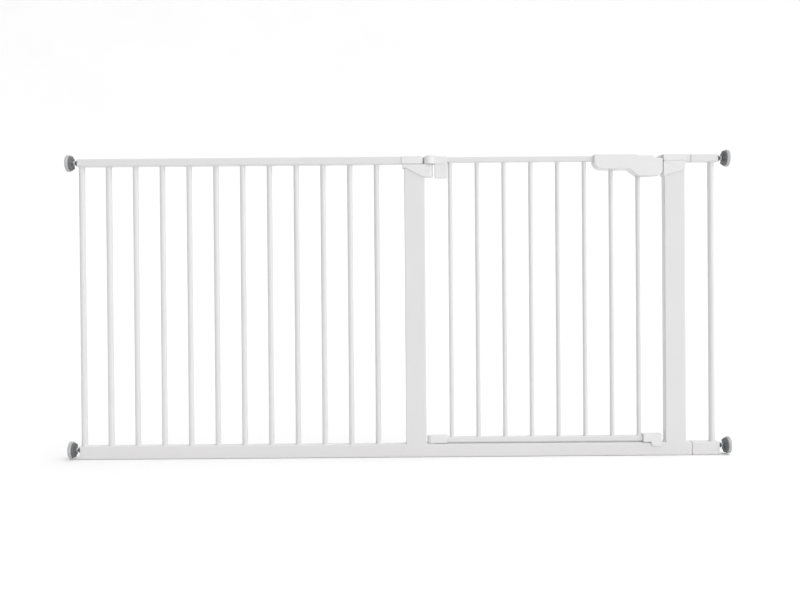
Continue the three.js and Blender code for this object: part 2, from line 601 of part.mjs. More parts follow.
// Wall fittings: a spindle in each corner's rail, a nut that bears on the rail's end, a cup and its rubber
// pad.

function latheX(profile, side, z) {
  const points = profile.map(([radius, x]) => new THREE.Vector2(radius, x));
  const geometry = new THREE.LatheGeometry(points, ROUND_SIDES);
  return geometry.rotateZ(side < 0 ? Math.PI / 2 : -Math.PI / 2).translate(0, 0, z);
}

function cupProfile(spindleTip, back, front) {
  const bore = SPINDLE_RADIUS + CLEARANCE;
  const dome = CUP_DOME.map(([radius, distance]) => [radius, back + distance]);
  const socket = [[0, spindleTip + CLEARANCE], [bore, spindleTip + CLEARANCE], [bore, back]];
  return [...socket, ...dome, [CUP_RADIUS, front], [0, front]];
}

function padProfile(back, wall) {
  return [
    [0, back], [CUP_RADIUS, back], [PAD_RADIUS, back + PAD_CHAMFER], [PAD_RADIUS, wall - PAD_CHAMFER],
    [PAD_RADIUS - PAD_CHAMFER, wall], [0, wall],
  ];
}

function addFitting(name, side, z) {
  const wall = WALL_TO_WALL / 2;
  const padBack = wall - PAD_THICKNESS;
  const spindleTip = padBack - SPINDLE_TO_PAD;
  const rod = rodX(spindleTip - SPINDLE_LENGTH, spindleTip, z, SPINDLE_RADIUS, SPINDLE_SIDES);
  const nutInner = FRAME_HALF_LENGTH + CLEARANCE;
  const nutOuter = nutInner + NUT_THICKNESS;
  const hexagon = circleOutline(0, z, NUT_ACROSS_FLATS / Math.sqrt(3), 6);
  const nutBore = rodX(nutInner - OVERRUN, nutOuter + OVERRUN, z, SPINDLE_RADIUS + CLEARANCE, SPINDLE_SIDES);
  const nut = cut(solidOf(prismX(hexagon, nutInner, nutOuter)), [nutBore]);
  const cup = latheX(cupProfile(spindleTip, padBack - CUP_DEPTH, padBack - CLEARANCE), side, z);
  addNode(`${name}_spindle`, geometryOf(mirrored(rod, side)), plainSteel);
  addNode(`${name}_nut`, geometryOf(mirrored(nut, side)), darkPlastic);
  addNode(`${name}_cup`, cup, cupPlastic);
  addNode(`${name}_pad`, latheX(padProfile(padBack, wall), side, z), padRubber);
}

function mirrored(solid, side) {
  return side < 0 ? solid.scale([-1, 1, 1]) : solid;
}

function addFittings() {
  addFitting('top_left', -1, TOP_SPINDLE_Z);
  addFitting('bottom_left', -1, BOTTOM_SPINDLE_Z);
  addFitting('top_right', 1, TOP_SPINDLE_Z);
  addFitting('bottom_right', 1, BOTTOM_SPINDLE_Z);
}

addGateFrame();
addHingeHousing();
addLatchHousing();
addLongExtension();
addEndExtensions();
addConnectors();
addBushes();
addDoor();
addHingeArm();
addHingeCapAndPins();
addShoes();
addHandle();
addLatch();
addFittings();

export default gate;
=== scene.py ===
"""A pressure-fit safety gate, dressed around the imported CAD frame.

Lengths are millimetres until a mesh is made. Names that end in _M hold metres.
"""

import json
import math

import bmesh
import bpy
from mathutils import Matrix, Vector

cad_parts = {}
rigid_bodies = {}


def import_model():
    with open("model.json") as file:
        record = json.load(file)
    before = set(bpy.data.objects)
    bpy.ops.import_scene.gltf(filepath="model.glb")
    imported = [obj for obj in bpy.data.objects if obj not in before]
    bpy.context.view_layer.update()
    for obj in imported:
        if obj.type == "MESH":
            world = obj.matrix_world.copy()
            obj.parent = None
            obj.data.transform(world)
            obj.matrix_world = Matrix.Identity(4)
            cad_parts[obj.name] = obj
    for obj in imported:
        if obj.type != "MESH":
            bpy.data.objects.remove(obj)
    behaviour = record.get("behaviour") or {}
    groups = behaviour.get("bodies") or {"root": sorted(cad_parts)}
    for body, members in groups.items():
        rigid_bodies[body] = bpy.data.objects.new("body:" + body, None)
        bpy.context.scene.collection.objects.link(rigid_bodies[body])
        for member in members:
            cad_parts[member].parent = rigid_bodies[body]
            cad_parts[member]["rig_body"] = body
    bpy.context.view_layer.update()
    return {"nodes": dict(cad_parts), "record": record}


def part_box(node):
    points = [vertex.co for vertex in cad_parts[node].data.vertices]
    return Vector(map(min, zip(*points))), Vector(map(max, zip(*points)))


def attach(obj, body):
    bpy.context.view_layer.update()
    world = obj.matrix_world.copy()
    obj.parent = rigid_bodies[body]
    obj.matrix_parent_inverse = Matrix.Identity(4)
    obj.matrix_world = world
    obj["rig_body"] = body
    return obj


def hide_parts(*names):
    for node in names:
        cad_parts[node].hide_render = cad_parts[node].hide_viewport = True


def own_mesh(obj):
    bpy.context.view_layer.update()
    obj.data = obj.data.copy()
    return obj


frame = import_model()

MM = 0.001
CLEARANCE = 0.3

# Camera and studio

CAMERA_PLACE = (4.7, -2130.0, 397.6)
CAMERA_YAW = 0.03
CAMERA_PITCH = -0.42
CAMERA_ROLL = -0.46
CAMERA_LENS = 39.30
SENSOR_WIDTH = 36.0
CAMERA_NEAR_M = 0.05
CAMERA_FAR_M = 60.0
FLOOR_SIZE = 24000.0
FLOOR_DROP = 0.4
SWEEP_START = 5000.0
SWEEP_RADIUS = 2500.0
SWEEP_HEIGHT = 3500.0
SWEEP_STEPS = 24
PAPER_DARK = (0.91, 0.91, 0.91)
PAPER_LIGHT = (0.93, 0.93, 0.93)
KEY_PLACE = (2600.0, -2400.0, 1700.0)
KEY_TARGET = (100.0, 0.0, 380.0)
KEY_SIZE_M = (1.2, 1.6)
KEY_POWER = 8.0
KEY_DIRECTION = (0.687, -0.331, 0.647)
SURROUND_DIM = -0.76
SURROUND_BRIGHT = 1.82
SURROUND_LEAST = 0.02

# Steel tube and bar

RAIL_CORNER = 2.6
RAIL_WALL = 1.5
RAIL_RIM = 0.4
DOOR_RAIL_CORNER = 2.0
DOOR_RAIL_WALL = 1.2
INNER_WALL = 1.2
INNER_GAP = RAIL_WALL + CLEARANCE
SPIGOT_IN_NEIGHBOUR = 12.0
SPIGOT_IN_RAIL = 30.0
BAR_SIDES = 40
WELD_HEIGHT = 3.2
WELD_STEPS = 6
WELD_SINK = 0.4
EXTENSION_BAR_WELD = 2.8
END_BAR_WELD = 2.6
DOOR_BAR_WELD = 1.5
POST_WELD_REACH = 5.0
POST_WELD_HALF_LENGTH = 9.5
POST_WELD_STEPS = 30
POST_TOP_DROP = 2.0
HINGE_POST_STUB = 9.0
LATCH_POST_STUB = 13.0
STUB_OVERLAP = 0.2
EAR_NOTCH = ((57.0, -20.0, 708.7), (70.0, 20.0, 740.0))
CONNECTOR_POCKET_HALF = 11.0
BUSH_HOLE_RADIUS = 8.3
END_PLUG_THICKNESS = 2.2
END_PLUG_TAIL = 14.0
END_PLUG_OVERLAP = 0.5
END_BAR_RADIUS = 7.5
LEFT_BARS_FROM_END = (8.5, 74.0)
RIGHT_BAR_FROM_END = 15.0
RIGHT_JOINT_GAP = 2.5
SLIDER_CUT_LENGTH = 18.5
SLIDER_CUT_RISE = 7.0
CUT_PAST = 5.0
CUT_HALF_DEPTH = 20.0

# Mouldings

SEAM = 0.4
PIN_BORE = 4.3
BUSH_LIP = 0.4
ARM_BEAM_HALF = 10.0
ARM_BEAM_START = 13.0
ARM_BLOCK_HALF = 8.0
ARM_BLOCK_START = 12.0
CAP_STEP_INSET = 2.2
CAP_STEP_DROP = 0.8
TONGUE_START = 19.0
TONGUE_END = 1.5
TONGUE_THICKNESS = 2.8
HOUSING_INSIDE = 12.8
HOUSING_POST_ROOF = 728.3
HOUSING_RAIL_ROOF = 730.15
HOUSING_CORNER = 1.6
BAND_ROUND = 1.2
SHIELD_ROUND = 1.1
SHIELD_GAP = 0.7
CORE_INSET = 1.5
CORE_HALF_HEIGHT = 4.0
HINGE_BAND_RIGHT = 61.0
HINGE_SHIELD_RIGHT = 68.5
HINGE_SHIELD_SLOPE_END = 59.5
HINGE_SHIELD_STEP = 702.5
HINGE_POST_POCKET = (15.7, 66.3)
WEB_START = 64.0
EAR_SPACE_RADIUS = 15.6
EAR_BORE = 6.1
LATCH_BAND_LEFT = 644.0
LATCH_BAND_HEIGHT = 15.5
LATCH_POST_POCKET = (645.7, 696.3)
LATCH_RAIL_POCKET = (694.7, 710.0)
BEAK_HEIGHT = 22.0
BEAK_FRONT = 1.0
BEAK_REAR = 12.0
HANDLE_WALL = 2.5
FRONT_EDGE_ROUND = 2.4
REAR_EDGE_ROUND = 6.5
REAR_CAVITY_GAP = 6.0
GRIP_RISE = 17.0
GRIP_END = 85.0
DEEP_START = 107.0
TOP_STEP_START = 99.0
TOP_STEP_DROP = 3.5
TOP_STEP_END = 142.0
SLIDER_SLOT = (104.0, 140.0)
SLIDER_SLOT_HALF = 7.5
SLIDER_SLOT_DEPTH = 10.5
BAR_HOLE_GAP = 0.5
HANDLE_SCREWS = [(24.0, 33.0), (82.0, 36.0), (118.0, 12.0)]
SCREW_SEAT_RADIUS = 4.0
SCREW_SEAT_DEPTH = 1.5
SCREW_SINK = 0.3
SCREW_CROSS_HALF_LENGTH = 2.1
SCREW_CROSS_HALF_WIDTH = 0.42
SCREW_CROSS_DEPTH = 0.9
SLIDER_PAD_HEIGHT = 5.0
SLIDER_RIDGES = 5
SLIDER_MARGIN = 3.0
RIDGE_HEIGHT = 1.0
RIDGE_FOOT = 0.36
RIDGE_CREST = 0.14
BOLT_TAIL_LENGTH = 12.0
BOLT_NOSE_BACK = 7.0
BOLT_NOSE_RISE = 8.0
SPRING_WIRE = 0.5
SPRING_TURNS = 9
SPRING_STEPS = 28
SPRING_SIDES = 10
SPRING_END_CLOSING = 0.8

# Wall fittings

PARTING_ROUND = 0.35
SPINDLE_BORE = 5.3
THREAD_PITCH = 1.5
THREAD_ROWS = 6
THREAD_SIDES = 28
THREAD_DEPTH = 0.9
THREAD_RUNOUT = 1.5
THREAD_RUNOUT_DEPTH = 0.9
SPINDLE_INNER_CHAMFER = 1.6
SPINDLE_OUTER_CHAMFER = 1.8
NUT_SIDES = 72
NUT_FLANGE = 8.6
NUT_ACROSS_FLATS = 11.6
NUT_HEIGHT = 5.7
NUT_KNURLS = 18
NUT_KNURL_DEPTH = 0.35
CUP_RIBS = 8
CUP_VALLEY = 1.3
CUP_CREST = 2.4
CUP_SIDES = 96
CUP_HUB = 8.6
CUP_DOME_STEPS = 10
PAD_GROOVES = (15.5, 11.5, 7.5)

# Materials

NOISE_LOW = 0.3
NOISE_HIGH = 0.7

RECORD = frame["record"]
SLOT_OF = {part["node"]: part["material_slot"] for part in RECORD["subparts"]}
BASE_COLOUR = {row["slot"]: row["base_color"] for row in RECORD["materials"]}


def box_mm(node):
    """A CAD node's lowest and highest corners, in millimetres."""
    low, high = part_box(node)
    return low / MM, high / MM


# Outlines: closed lists of 2D points that run anticlockwise


def rounded(corners, steps=6):
    """The outline through corners (u, v, radius), each rounded by an arc."""
    points = []
    count = len(corners)
    for i, (u, v, radius) in enumerate(corners):
        here = Vector((u, v))
        if radius <= 0:
            points.append(here)
            continue
        back = (Vector(corners[i - 1][:2]) - here).normalized()
        ahead = (Vector(corners[(i + 1) % count][:2]) - here).normalized()
        half = back.angle(ahead) / 2
        centre = here + (back + ahead).normalized() * (radius / math.sin(half))
        start = here + back * (radius / math.tan(half)) - centre
        end = here + ahead * (radius / math.tan(half)) - centre
        sweep = math.atan2(start.x * end.y - start.y * end.x, start.dot(end))
        for k in range(steps + 1):
            angle = sweep * k / steps
            turned = Vector((
                start.x * math.cos(angle) - start.y * math.sin(angle),
                start.x * math.sin(angle) + start.y * math.cos(angle),
            ))
            points.append(centre + turned)
    return points


def rectangle(u0, u1, v0, v1, radius, steps=6):
    return rounded([(u0, v0, radius), (u1, v0, radius), (u1, v1, radius), (u0, v1, radius)], steps)


def circle(u, v, radius, sides=48):
    angles = [2 * math.pi * i / sides for i in range(sides)]
    return [Vector((u + radius * math.cos(angle), v + radius * math.sin(angle))) for angle in angles]


def arc(u, v, radius, start, end, steps):
    """Points on a circle from one angle to another, in degrees."""
    points = []
    for i in range(steps + 1):
        angle = math.radians(start + (end - start) * i / steps)
        points.append(Vector((u + radius * math.cos(angle), v + radius * math.sin(angle))))
    return points


def inset(outline, distance):
    """The outline moved inwards, or outwards where distance is negative."""
    moved = []
    count = len(outline)
    for i, point in enumerate(outline):
        before = (point - outline[i - 1]).normalized()
        after = (outline[(i + 1) % count] - point).normalized()
        normal = Vector((-(before.y + after.y), before.x + after.x)).normalized()
        mitre = max(0.4, normal.dot(Vector((-before.y, before.x))))
        moved.append(point + normal * (distance / mitre))
    return moved


def shrunk(corners, wall):
    """Corners (u, v, radius) of the outline that lies a wall's thickness inside."""
    points = [Vector(corner[:2]) for corner in corners]
    moved = []
    for i, point in enumerate(inset(points, wall)):
        before = points[i] - points[i - 1]
        after = points[(i + 1) % len(points)] - points[i]
        convex = before.x * after.y - before.y * after.x > 0
        radius = corners[i][2] - wall if convex else corners[i][2] + wall
        moved.append((point.x, point.y, max(0.4, radius)))
    return moved


def place(axis, outline, along):
    """An outline in the plane across an axis, at a place along it."""
    if axis == "x":
        return [(along, p.x, p.y) for p in outline]
    if axis == "y":
        return [(p.x, along, p.y) for p in outline]
    return [(p.x, p.y, along) for p in outline]


# Closed surfaces, added to a bmesh


def skin(bm, rings, loop=False):
    """Joins rings of points, all of one length, and closes the ends, or joins the last ring to the first."""
    rows = [[bm.verts.new(point) for point in ring] for ring in rings]
    pairs = list(zip(rows, rows[1:]))
    if loop:
        pairs.append((rows[-1], rows[0]))
    else:
        bm.faces.new(rows[0][::-1])
        bm.faces.new(rows[-1])
    for low, high in pairs:
        count = len(low)
        for i in range(count):
            j = (i + 1) % count
            bm.faces.new((low[i], low[j], high[j], high[i]))


def edge_round(radius, steps):
    """(inset, depth) pairs that round an edge, from the cap to the side."""
    if radius <= 0:
        return [(0.0, 0.0)]
    angles = [math.pi / 2 * k / steps for k in range(steps + 1)]
    return [(radius * (1 - math.sin(a)), radius * (1 - math.cos(a))) for a in angles]


def prism(bm, axis, outline, start, end, start_round=0.0, end_round=0.0, steps=4):
    """An outline extruded along an axis, with rounded cap edges."""
    rings = [(d, start + depth) for d, depth in edge_round(start_round, steps)]
    rings += [(d, end - depth) for d, depth in reversed(edge_round(end_round, steps))]
    skin(bm, [place(axis, inset(outline, d), along) for d, along in rings])


def soft_prism(bm, axis, corners, start, end, start_round, end_round, steps=6):
    """A prism through corners (u, v, radius) that may be tighter than the rounding of its cap edges."""
    rings = [(d, start + depth) for d, depth in edge_round(start_round, steps)]
    rings += [(d, end - depth) for d, depth in reversed(edge_round(end_round, steps))]
    skin(bm, [place(axis, rounded(shrunk(corners, d), 10), along) for d, along in rings])


def tube(bm, axis, section, start, end, corner=RAIL_CORNER, wall=RAIL_WALL):
    """An open rectangular tube with rounded corners and softened rims."""
    outer = rectangle(*section, corner)
    inner = inset(outer, wall)
    lip = inset(outer, RAIL_RIM)
    rings = [
        (lip, start), (outer, start + RAIL_RIM), (outer, end - RAIL_RIM),
        (lip, end), (inner, end), (inner, start),
    ]
    skin(bm, [place(axis, outline, along) for outline, along in rings], loop=True)


def lathe(bm, axis, centre, profile, sides=48, loop=False):
    """A profile of (radius, place along the axis) turned round a line through centre."""
    skin(bm, [place(axis, circle(*centre, radius, sides), along) for radius, along in profile], loop)


def block(low, high):
    """A bare cutting block."""
    bm = bmesh.new()
    skin(bm, [
        [(x, low[1], low[2]), (x, high[1], low[2]), (x, high[1], high[2]), (x, low[1], high[2])]
        for x in (low[0], high[0])
    ])
    return bm


def rod(axis, centre, radius, start, end, sides=48):
    """A bare cutting rod."""
    bm = bmesh.new()
    lathe(bm, axis, centre, [(radius, start), (radius, end)], sides)
    return bm


# Booleans


def scratch_object(bm):
    bmesh.ops.recalc_face_normals(bm, faces=bm.faces)
    mesh = bpy.data.meshes.new("scratch")
    bm.to_mesh(mesh)
    bm.free()
    obj = bpy.data.objects.new("scratch", mesh)
    bpy.context.scene.collection.objects.link(obj)
    return obj


def combine(bm, tool, operation):
    """The union or difference of two closed surfaces. Both inputs are used up."""
    base = scratch_object(bm)
    other = scratch_object(tool)
    modifier = base.modifiers.new("combine", "BOOLEAN")
    modifier.operation = operation
    modifier.solver = "EXACT"
    modifier.object = other
    mesh = bpy.data.meshes.new_from_object(base.evaluated_get(bpy.context.evaluated_depsgraph_get()))
    result = bmesh.new()
    result.from_mesh(mesh)
    bpy.data.meshes.remove(mesh)
    for obj in (base, other):
        data = obj.data
        bpy.data.objects.remove(obj)
        bpy.data.meshes.remove(data)
    return result


def joined(first, *others):
    for other in others:
        first = combine(first, other, "UNION")
    return first


def carved(bm, *tools):
    for tool in tools:
        bm = combine(bm, tool, "DIFFERENCE")
    return bm


def absorb(bm, other):
    """Adds a surface to bm as it is, without uniting the two. The other is used up."""
    mesh = bpy.data.meshes.new("scratch")
    other.to_mesh(mesh)
    other.free()
    bm.from_mesh(mesh)
    bpy.data.meshes.remove(mesh)


# Materials


def add_node(tree, kind, inputs=None, **settings):
    node = tree.nodes.new(kind)
    for name, value in settings.items():
        setattr(node, name, value)
    for name, value in (inputs or {}).items():
        node.inputs[name].default_value = value
    return node


def noise(tree, coordinates, scale, detail=3.0):
    """A noise whose grains are about 1/scale metres across."""
    node = add_node(tree, "ShaderNodeTexNoise", {"Scale": scale, "Detail": detail, "Roughness": 0.55})
    tree.links.new(coordinates, node.inputs["Vector"])
    return node.outputs["Fac"]


def spread(tree, value, low, high):
    """Noise, which lies mostly between NOISE_LOW and NOISE_HIGH, stretched to low..high."""
    node = add_node(tree, "ShaderNodeMapRange", {
        "From Min": NOISE_LOW, "From Max": NOISE_HIGH, "To Min": low, "To Max": high,
    })
    tree.links.new(value, node.inputs["Value"])
    return node.outputs["Result"]


def tinted(tree, value, dark, light):
    ramp = add_node(tree, "ShaderNodeValToRGB")
    ramp.color_ramp.elements[0].position = NOISE_LOW
    ramp.color_ramp.elements[0].color = (*dark, 1)
    ramp.color_ramp.elements[1].position = NOISE_HIGH
    ramp.color_ramp.elements[1].color = (*light, 1)
    tree.links.new(value, ramp.inputs["Fac"])
    return ramp.outputs["Color"]


def bumped(tree, height, distance, strength, normal=None):
    node = add_node(tree, "ShaderNodeBump", {"Strength": strength, "Distance": distance})
    tree.links.new(height, node.inputs["Height"])
    if normal is not None:
        tree.links.new(normal, node.inputs["Normal"])
    return node.outputs["Normal"]


def start_material(slot):
    material = bpy.data.materials.new(slot)
    material.use_nodes = True
    tree = material.node_tree
    shader = tree.nodes["Principled BSDF"]
    coordinates = add_node(tree, "ShaderNodeTexCoord").outputs["Object"]
    return material, tree, shader, coordinates


def shade(colour, factor):
    return tuple(min(1.0, channel * factor) for channel in colour)


def coated_material(slot, patch, grain, roughness, relief, coat=0.0, contrast=0.03):
    """A painted or moulded surface: slow drifts of colour, fine grain in the gloss, two sizes of relief."""
    material, tree, shader, coordinates = start_material(slot)
    colour = BASE_COLOUR[slot]
    slow = noise(tree, coordinates, patch, 4.0)
    fine = noise(tree, coordinates, grain)
    pores = noise(tree, coordinates, grain * 4.5, 2.0)
    mottled = tinted(tree, slow, shade(colour, 1 - contrast), shade(colour, 1 + contrast))
    tree.links.new(mottled, shader.inputs["Base Color"])
    tree.links.new(spread(tree, fine, *roughness), shader.inputs["Roughness"])
    peel = bumped(tree, fine, relief, 0.35)
    tree.links.new(bumped(tree, pores, relief / 3, 0.3, peel), shader.inputs["Normal"])
    shader.inputs["Coat Weight"].default_value = coat
    shader.inputs["Coat Roughness"].default_value = 0.22
    shader.inputs["Specular IOR Level"].default_value = 0.4
    return material


def steel_material(slot):
    """Zinc-plated steel: a faint warm and cool drift, and fine drawing lines along the part."""
    material, tree, shader, coordinates = start_material(slot)
    colour = BASE_COLOUR[slot]
    cool = (colour[0] * 0.86, colour[1] * 0.9, colour[2] * 0.97)
    warm = (colour[0] * 1.16, colour[1] * 1.12, colour[2] * 1.0)
    slow = noise(tree, coordinates, 90.0, 4.0)
    tree.links.new(tinted(tree, slow, cool, warm), shader.inputs["Base Color"])
    stretch = add_node(tree, "ShaderNodeMapping", {"Scale": (0.06, 1.0, 1.0)})
    tree.links.new(coordinates, stretch.inputs["Vector"])
    lines = noise(tree, stretch.outputs["Vector"], 2600.0, 2.0)
    tree.links.new(spread(tree, lines, 0.24, 0.42), shader.inputs["Roughness"])
    tree.links.new(bumped(tree, lines, 0.00004, 0.4), shader.inputs["Normal"])
    shader.inputs["Metallic"].default_value = 1.0
    return material


MATERIALS = {
    "white_paint": coated_material(
        "white_paint", 5.0, 700.0, (0.30, 0.42), 0.00016, coat=0.25, contrast=0.012,
    ),
    "white_plastic": coated_material("white_plastic", 30.0, 1800.0, (0.38, 0.50), 0.00006, contrast=0.010),
    "dark_plastic": coated_material("dark_plastic", 120.0, 1500.0, (0.36, 0.55), 0.00010, contrast=0.20),
    "cup_plastic": coated_material("cup_plastic", 90.0, 1300.0, (0.20, 0.34), 0.00012, contrast=0.14),
    "pad_rubber": coated_material("pad_rubber", 110.0, 1100.0, (0.62, 0.82), 0.00020, contrast=0.08),
    "bush_plastic": coated_material("bush_plastic", 80.0, 1600.0, (0.34, 0.46), 0.00006, contrast=0.03),
    "plain_steel": steel_material("plain_steel"),
}


# Pieces


def piece(name, bm, node, slot=None, sharp=38.0, stands_in=True):
    """Makes the closed surface a piece that rides with a CAD node, and stands for it."""
    bmesh.ops.recalc_face_normals(bm, faces=bm.faces)
    mesh = bpy.data.meshes.new(name)
    bm.to_mesh(mesh)
    bm.free()
    mesh.transform(Matrix.Scale(MM, 4))
    mesh.shade_smooth()
    mesh.set_sharp_from_angle(angle=math.radians(sharp))
    slot = slot or SLOT_OF[node]
    mesh.materials.append(MATERIALS[slot])
    obj = bpy.data.objects.new(name, mesh)
    bpy.context.scene.collection.objects.link(obj)
    weighted = obj.modifiers.new("flat_faces_stay_flat", "WEIGHTED_NORMAL")
    weighted.keep_sharp = True
    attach(obj, frame["nodes"][node]["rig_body"])
    if stands_in:
        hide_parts(node)
    return obj


# Tubes, bars and welds


def rail_section(node):
    low, high = box_mm(node)
    return (low.y, high.y, low.z, high.z)


def weld_ripple(angle, seed):
    """A weld bead's uneven edge round a bar, about 1."""
    return 1 + 0.16 * math.sin(9 * angle + seed) + 0.09 * math.sin(16 * angle + 2.3 * seed)


def welded_bar(bm, x, low, high, radius, flare, seed):
    """A round bar whose ends spread into weld beads where they meet the rails."""
    steps = [math.pi / 2 * k / WELD_STEPS for k in range(WELD_STEPS + 1)]
    bead = [(flare * (1 - math.sin(a)), WELD_HEIGHT * (1 - math.cos(a))) for a in steps]
    rows = [(flare, low - WELD_SINK)] + [(extra, low + rise) for extra, rise in bead]
    rows += [(extra, high - rise) for extra, rise in reversed(bead)] + [(flare, high + WELD_SINK)]
    rings = []
    for extra, z in rows:
        ring = []
        for i in range(BAR_SIDES):
            angle = 2 * math.pi * i / BAR_SIDES
            reach = radius + extra * weld_ripple(angle, seed + z)
            ring.append((x + reach * math.cos(angle), reach * math.sin(angle), z))
        rings.append(ring)
    skin(bm, rings)


def bar_piece(node, flare, seed):
    low, high = box_mm(node)
    bm = bmesh.new()
    welded_bar(bm, (low.x + high.x) / 2, low.z, high.z, (high.x - low.x) / 2, flare, seed)
    piece(f"{node}_welded", bm, node)


def fillet_weld(bm, corner_x, side, floor):
    """A concave bead along Y in the corner between a rail's top and a post's side."""
    rings = []
    quarter = (180, 270) if side > 0 else (0, -90)
    for i in range(POST_WELD_STEPS + 1):
        y = -POST_WELD_HALF_LENGTH + 2 * POST_WELD_HALF_LENGTH * i / POST_WELD_STEPS
        size = POST_WELD_REACH * (1 + 0.07 * math.sin(i * 1.9) + 0.04 * math.sin(i * 3.1))
        size *= math.sqrt(max(0.05, 1 - (2 * i / POST_WELD_STEPS - 1) ** 6))
        curve = arc(corner_x + side * size, floor + size, size, *quarter, 6)
        ring = [(p.x, y, p.y) for p in curve]
        ring.append((corner_x - side * WELD_SINK, y, floor - WELD_SINK))
        rings.append(ring)
    skin(bm, rings)


def dress_long_extension():
    for node in ("extension_top_rail", "extension_bottom_rail"):
        low, high = box_mm(node)
        bm = bmesh.new()
        tube(bm, "x", rail_section(node), low.x, high.x)
        piece(f"{node}_tube", bm, node)
    bars = sorted(name for name in frame["nodes"] if name.startswith("extension_bar_"))
    for i, node in enumerate(bars):
        bar_piece(node, EXTENSION_BAR_WELD, 1.7 * i)


def dress_gate_frame():
    low, high = box_mm("frame_bottom_rail")
    bush_low, bush_high = box_mm("lower_bush")
    hinge_x = (bush_low.x + bush_high.x) / 2
    bm = bmesh.new()
    tube(bm, "x", rail_section("frame_bottom_rail"), low.x, high.x)
    bush_hole = rod("z", (hinge_x, 0), BUSH_HOLE_RADIUS, high.z - 4, high.z + 2)
    piece("frame_bottom_rail_tube", carved(bm, bush_hole), "frame_bottom_rail")
    top = rail_section("extension_top_rail")
    front, rear, rail_bottom, rail_top = top
    seat = high.z - RAIL_CORNER
    welds = bmesh.new()

    post_low, post_high = box_mm("hinge_post")
    left = post_low.x + HINGE_POST_STUB
    bm = bmesh.new()
    tube(bm, "z", (left, post_high.x, front, rear), seat, post_high.z - POST_TOP_DROP)
    pocket = block(
        (left - 1, -CONNECTOR_POCKET_HALF, rail_bottom),
        (left + 3, CONNECTOR_POCKET_HALF, rail_top - POST_TOP_DROP),
    )
    bm = carved(bm, block(*EAR_NOTCH), pocket)
    tube(bm, "x", top, post_low.x, left + STUB_OVERLAP)
    piece("hinge_post_tube", bm, "hinge_post")
    fillet_weld(welds, left, -1, high.z)
    fillet_weld(welds, post_high.x, 1, high.z)

    post_low, post_high = box_mm("latch_post")
    right = post_high.x - LATCH_POST_STUB
    bm = bmesh.new()
    tube(bm, "z", (post_low.x, right, front, rear), seat, post_high.z - POST_TOP_DROP)
    tube(bm, "x", top, right - STUB_OVERLAP, post_high.x)
    piece("latch_post_tube", bm, "latch_post")
    fillet_weld(welds, post_low.x, -1, high.z)
    fillet_weld(welds, right, 1, high.z)
    piece("post_welds", welds, "frame_bottom_rail", stands_in=False)


def end_plug(side, outer, section, spindle):
    """A plug for an open rail end: a cap, and a tail inside the rail, bored for the spindle."""
    face = outer - side * END_PLUG_THICKNESS
    cap = bmesh.new()
    outline = rectangle(*section, RAIL_CORNER)
    prism(cap, "x", outline, *sorted((face, outer)), 0.5, 0.5, 3)
    tail = bmesh.new()
    tail_ends = sorted((face + side * END_PLUG_OVERLAP, face - side * END_PLUG_TAIL))
    prism(tail, "x", inset(outline, INNER_GAP), *tail_ends, 0.4, 0.4, 2)
    hole_low, hole_high = box_mm(spindle)
    z = (hole_low.z + hole_high.z) / 2
    bore = rod("x", (0, z), SPINDLE_BORE, *sorted((outer + side * 5, face - side * 30)))
    return carved(joined(cap, tail), bore)


def end_panel(side, node, bars, joint):
    """An end extension: two rails with plugs and spigots, and the bars between them."""
    low, high = box_mm(node)
    outer = high.x if side > 0 else low.x
    top = rail_section("extension_top_rail")
    bottom = rail_section("extension_bottom_rail")
    rails = bmesh.new()
    plugs = bmesh.new()
    spigots = bmesh.new()
    wall = "right" if side > 0 else "left"
    rail_end = outer - side * END_PLUG_THICKNESS - side * SEAM
    spigot_ends = sorted((joint - side * SPIGOT_IN_NEIGHBOUR, joint + side * SPIGOT_IN_RAIL))
    for section, height in ((top, "top"), (bottom, "bottom")):
        tube(rails, "x", section, *sorted((joint, rail_end)))
        absorb(plugs, end_plug(side, outer, section, f"{height}_{wall}_spindle"))
        front, rear, below, above = section
        inside = (front + INNER_GAP, rear - INNER_GAP, below + INNER_GAP, above - INNER_GAP)
        tube(spigots, "x", inside, *spigot_ends, 1.2, INNER_WALL)
    piece(f"{node}_rails", rails, node)
    piece(f"{node}_plugs", plugs, node, slot="white_plastic")
    piece(f"{node}_spigots", spigots, node)
    welds = bmesh.new()
    for i, (x, radius) in enumerate(bars):
        welded_bar(welds, x, bottom[3], top[2], radius, END_BAR_WELD, 2.1 * i + side)
    piece(f"{node}_bars", welds, node)


def dress_end_extensions():
    left_end = box_mm("left_end_extension")[0].x
    right_end = box_mm("right_end_extension")[1].x
    left_bars = [(left_end + inwards, END_BAR_RADIUS) for inwards in LEFT_BARS_FROM_END]
    right_bars = [(right_end - RIGHT_BAR_FROM_END, END_BAR_RADIUS)]
    end_panel(-1, "left_end_extension", left_bars, box_mm("extension_top_rail")[0].x)
    end_panel(1, "right_end_extension", right_bars, box_mm("frame_bottom_rail")[1].x + RIGHT_JOINT_GAP)


# Door


def dress_door():
    for node in ("door_top_rail", "door_bottom_rail"):
        low, high = box_mm(node)
        bm = bmesh.new()
        tube(bm, "x", rail_section(node), low.x, high.x, DOOR_RAIL_CORNER, DOOR_RAIL_WALL)
        if node == "door_top_rail":
            slider_cut = block(
                (high.x - SLIDER_CUT_LENGTH, -CUT_HALF_DEPTH, low.z + SLIDER_CUT_RISE),
                (high.x + CUT_PAST, CUT_HALF_DEPTH, high.z + CUT_PAST),
            )
            bm = carved(bm, slider_cut)
        piece(f"{node}_tube", bm, node)
    bars = sorted(name for name in frame["nodes"] if name.startswith("door_bar_"))
    for i, node in enumerate(bars):
        bar_piece(node, DOOR_BAR_WELD, 2.9 * i)


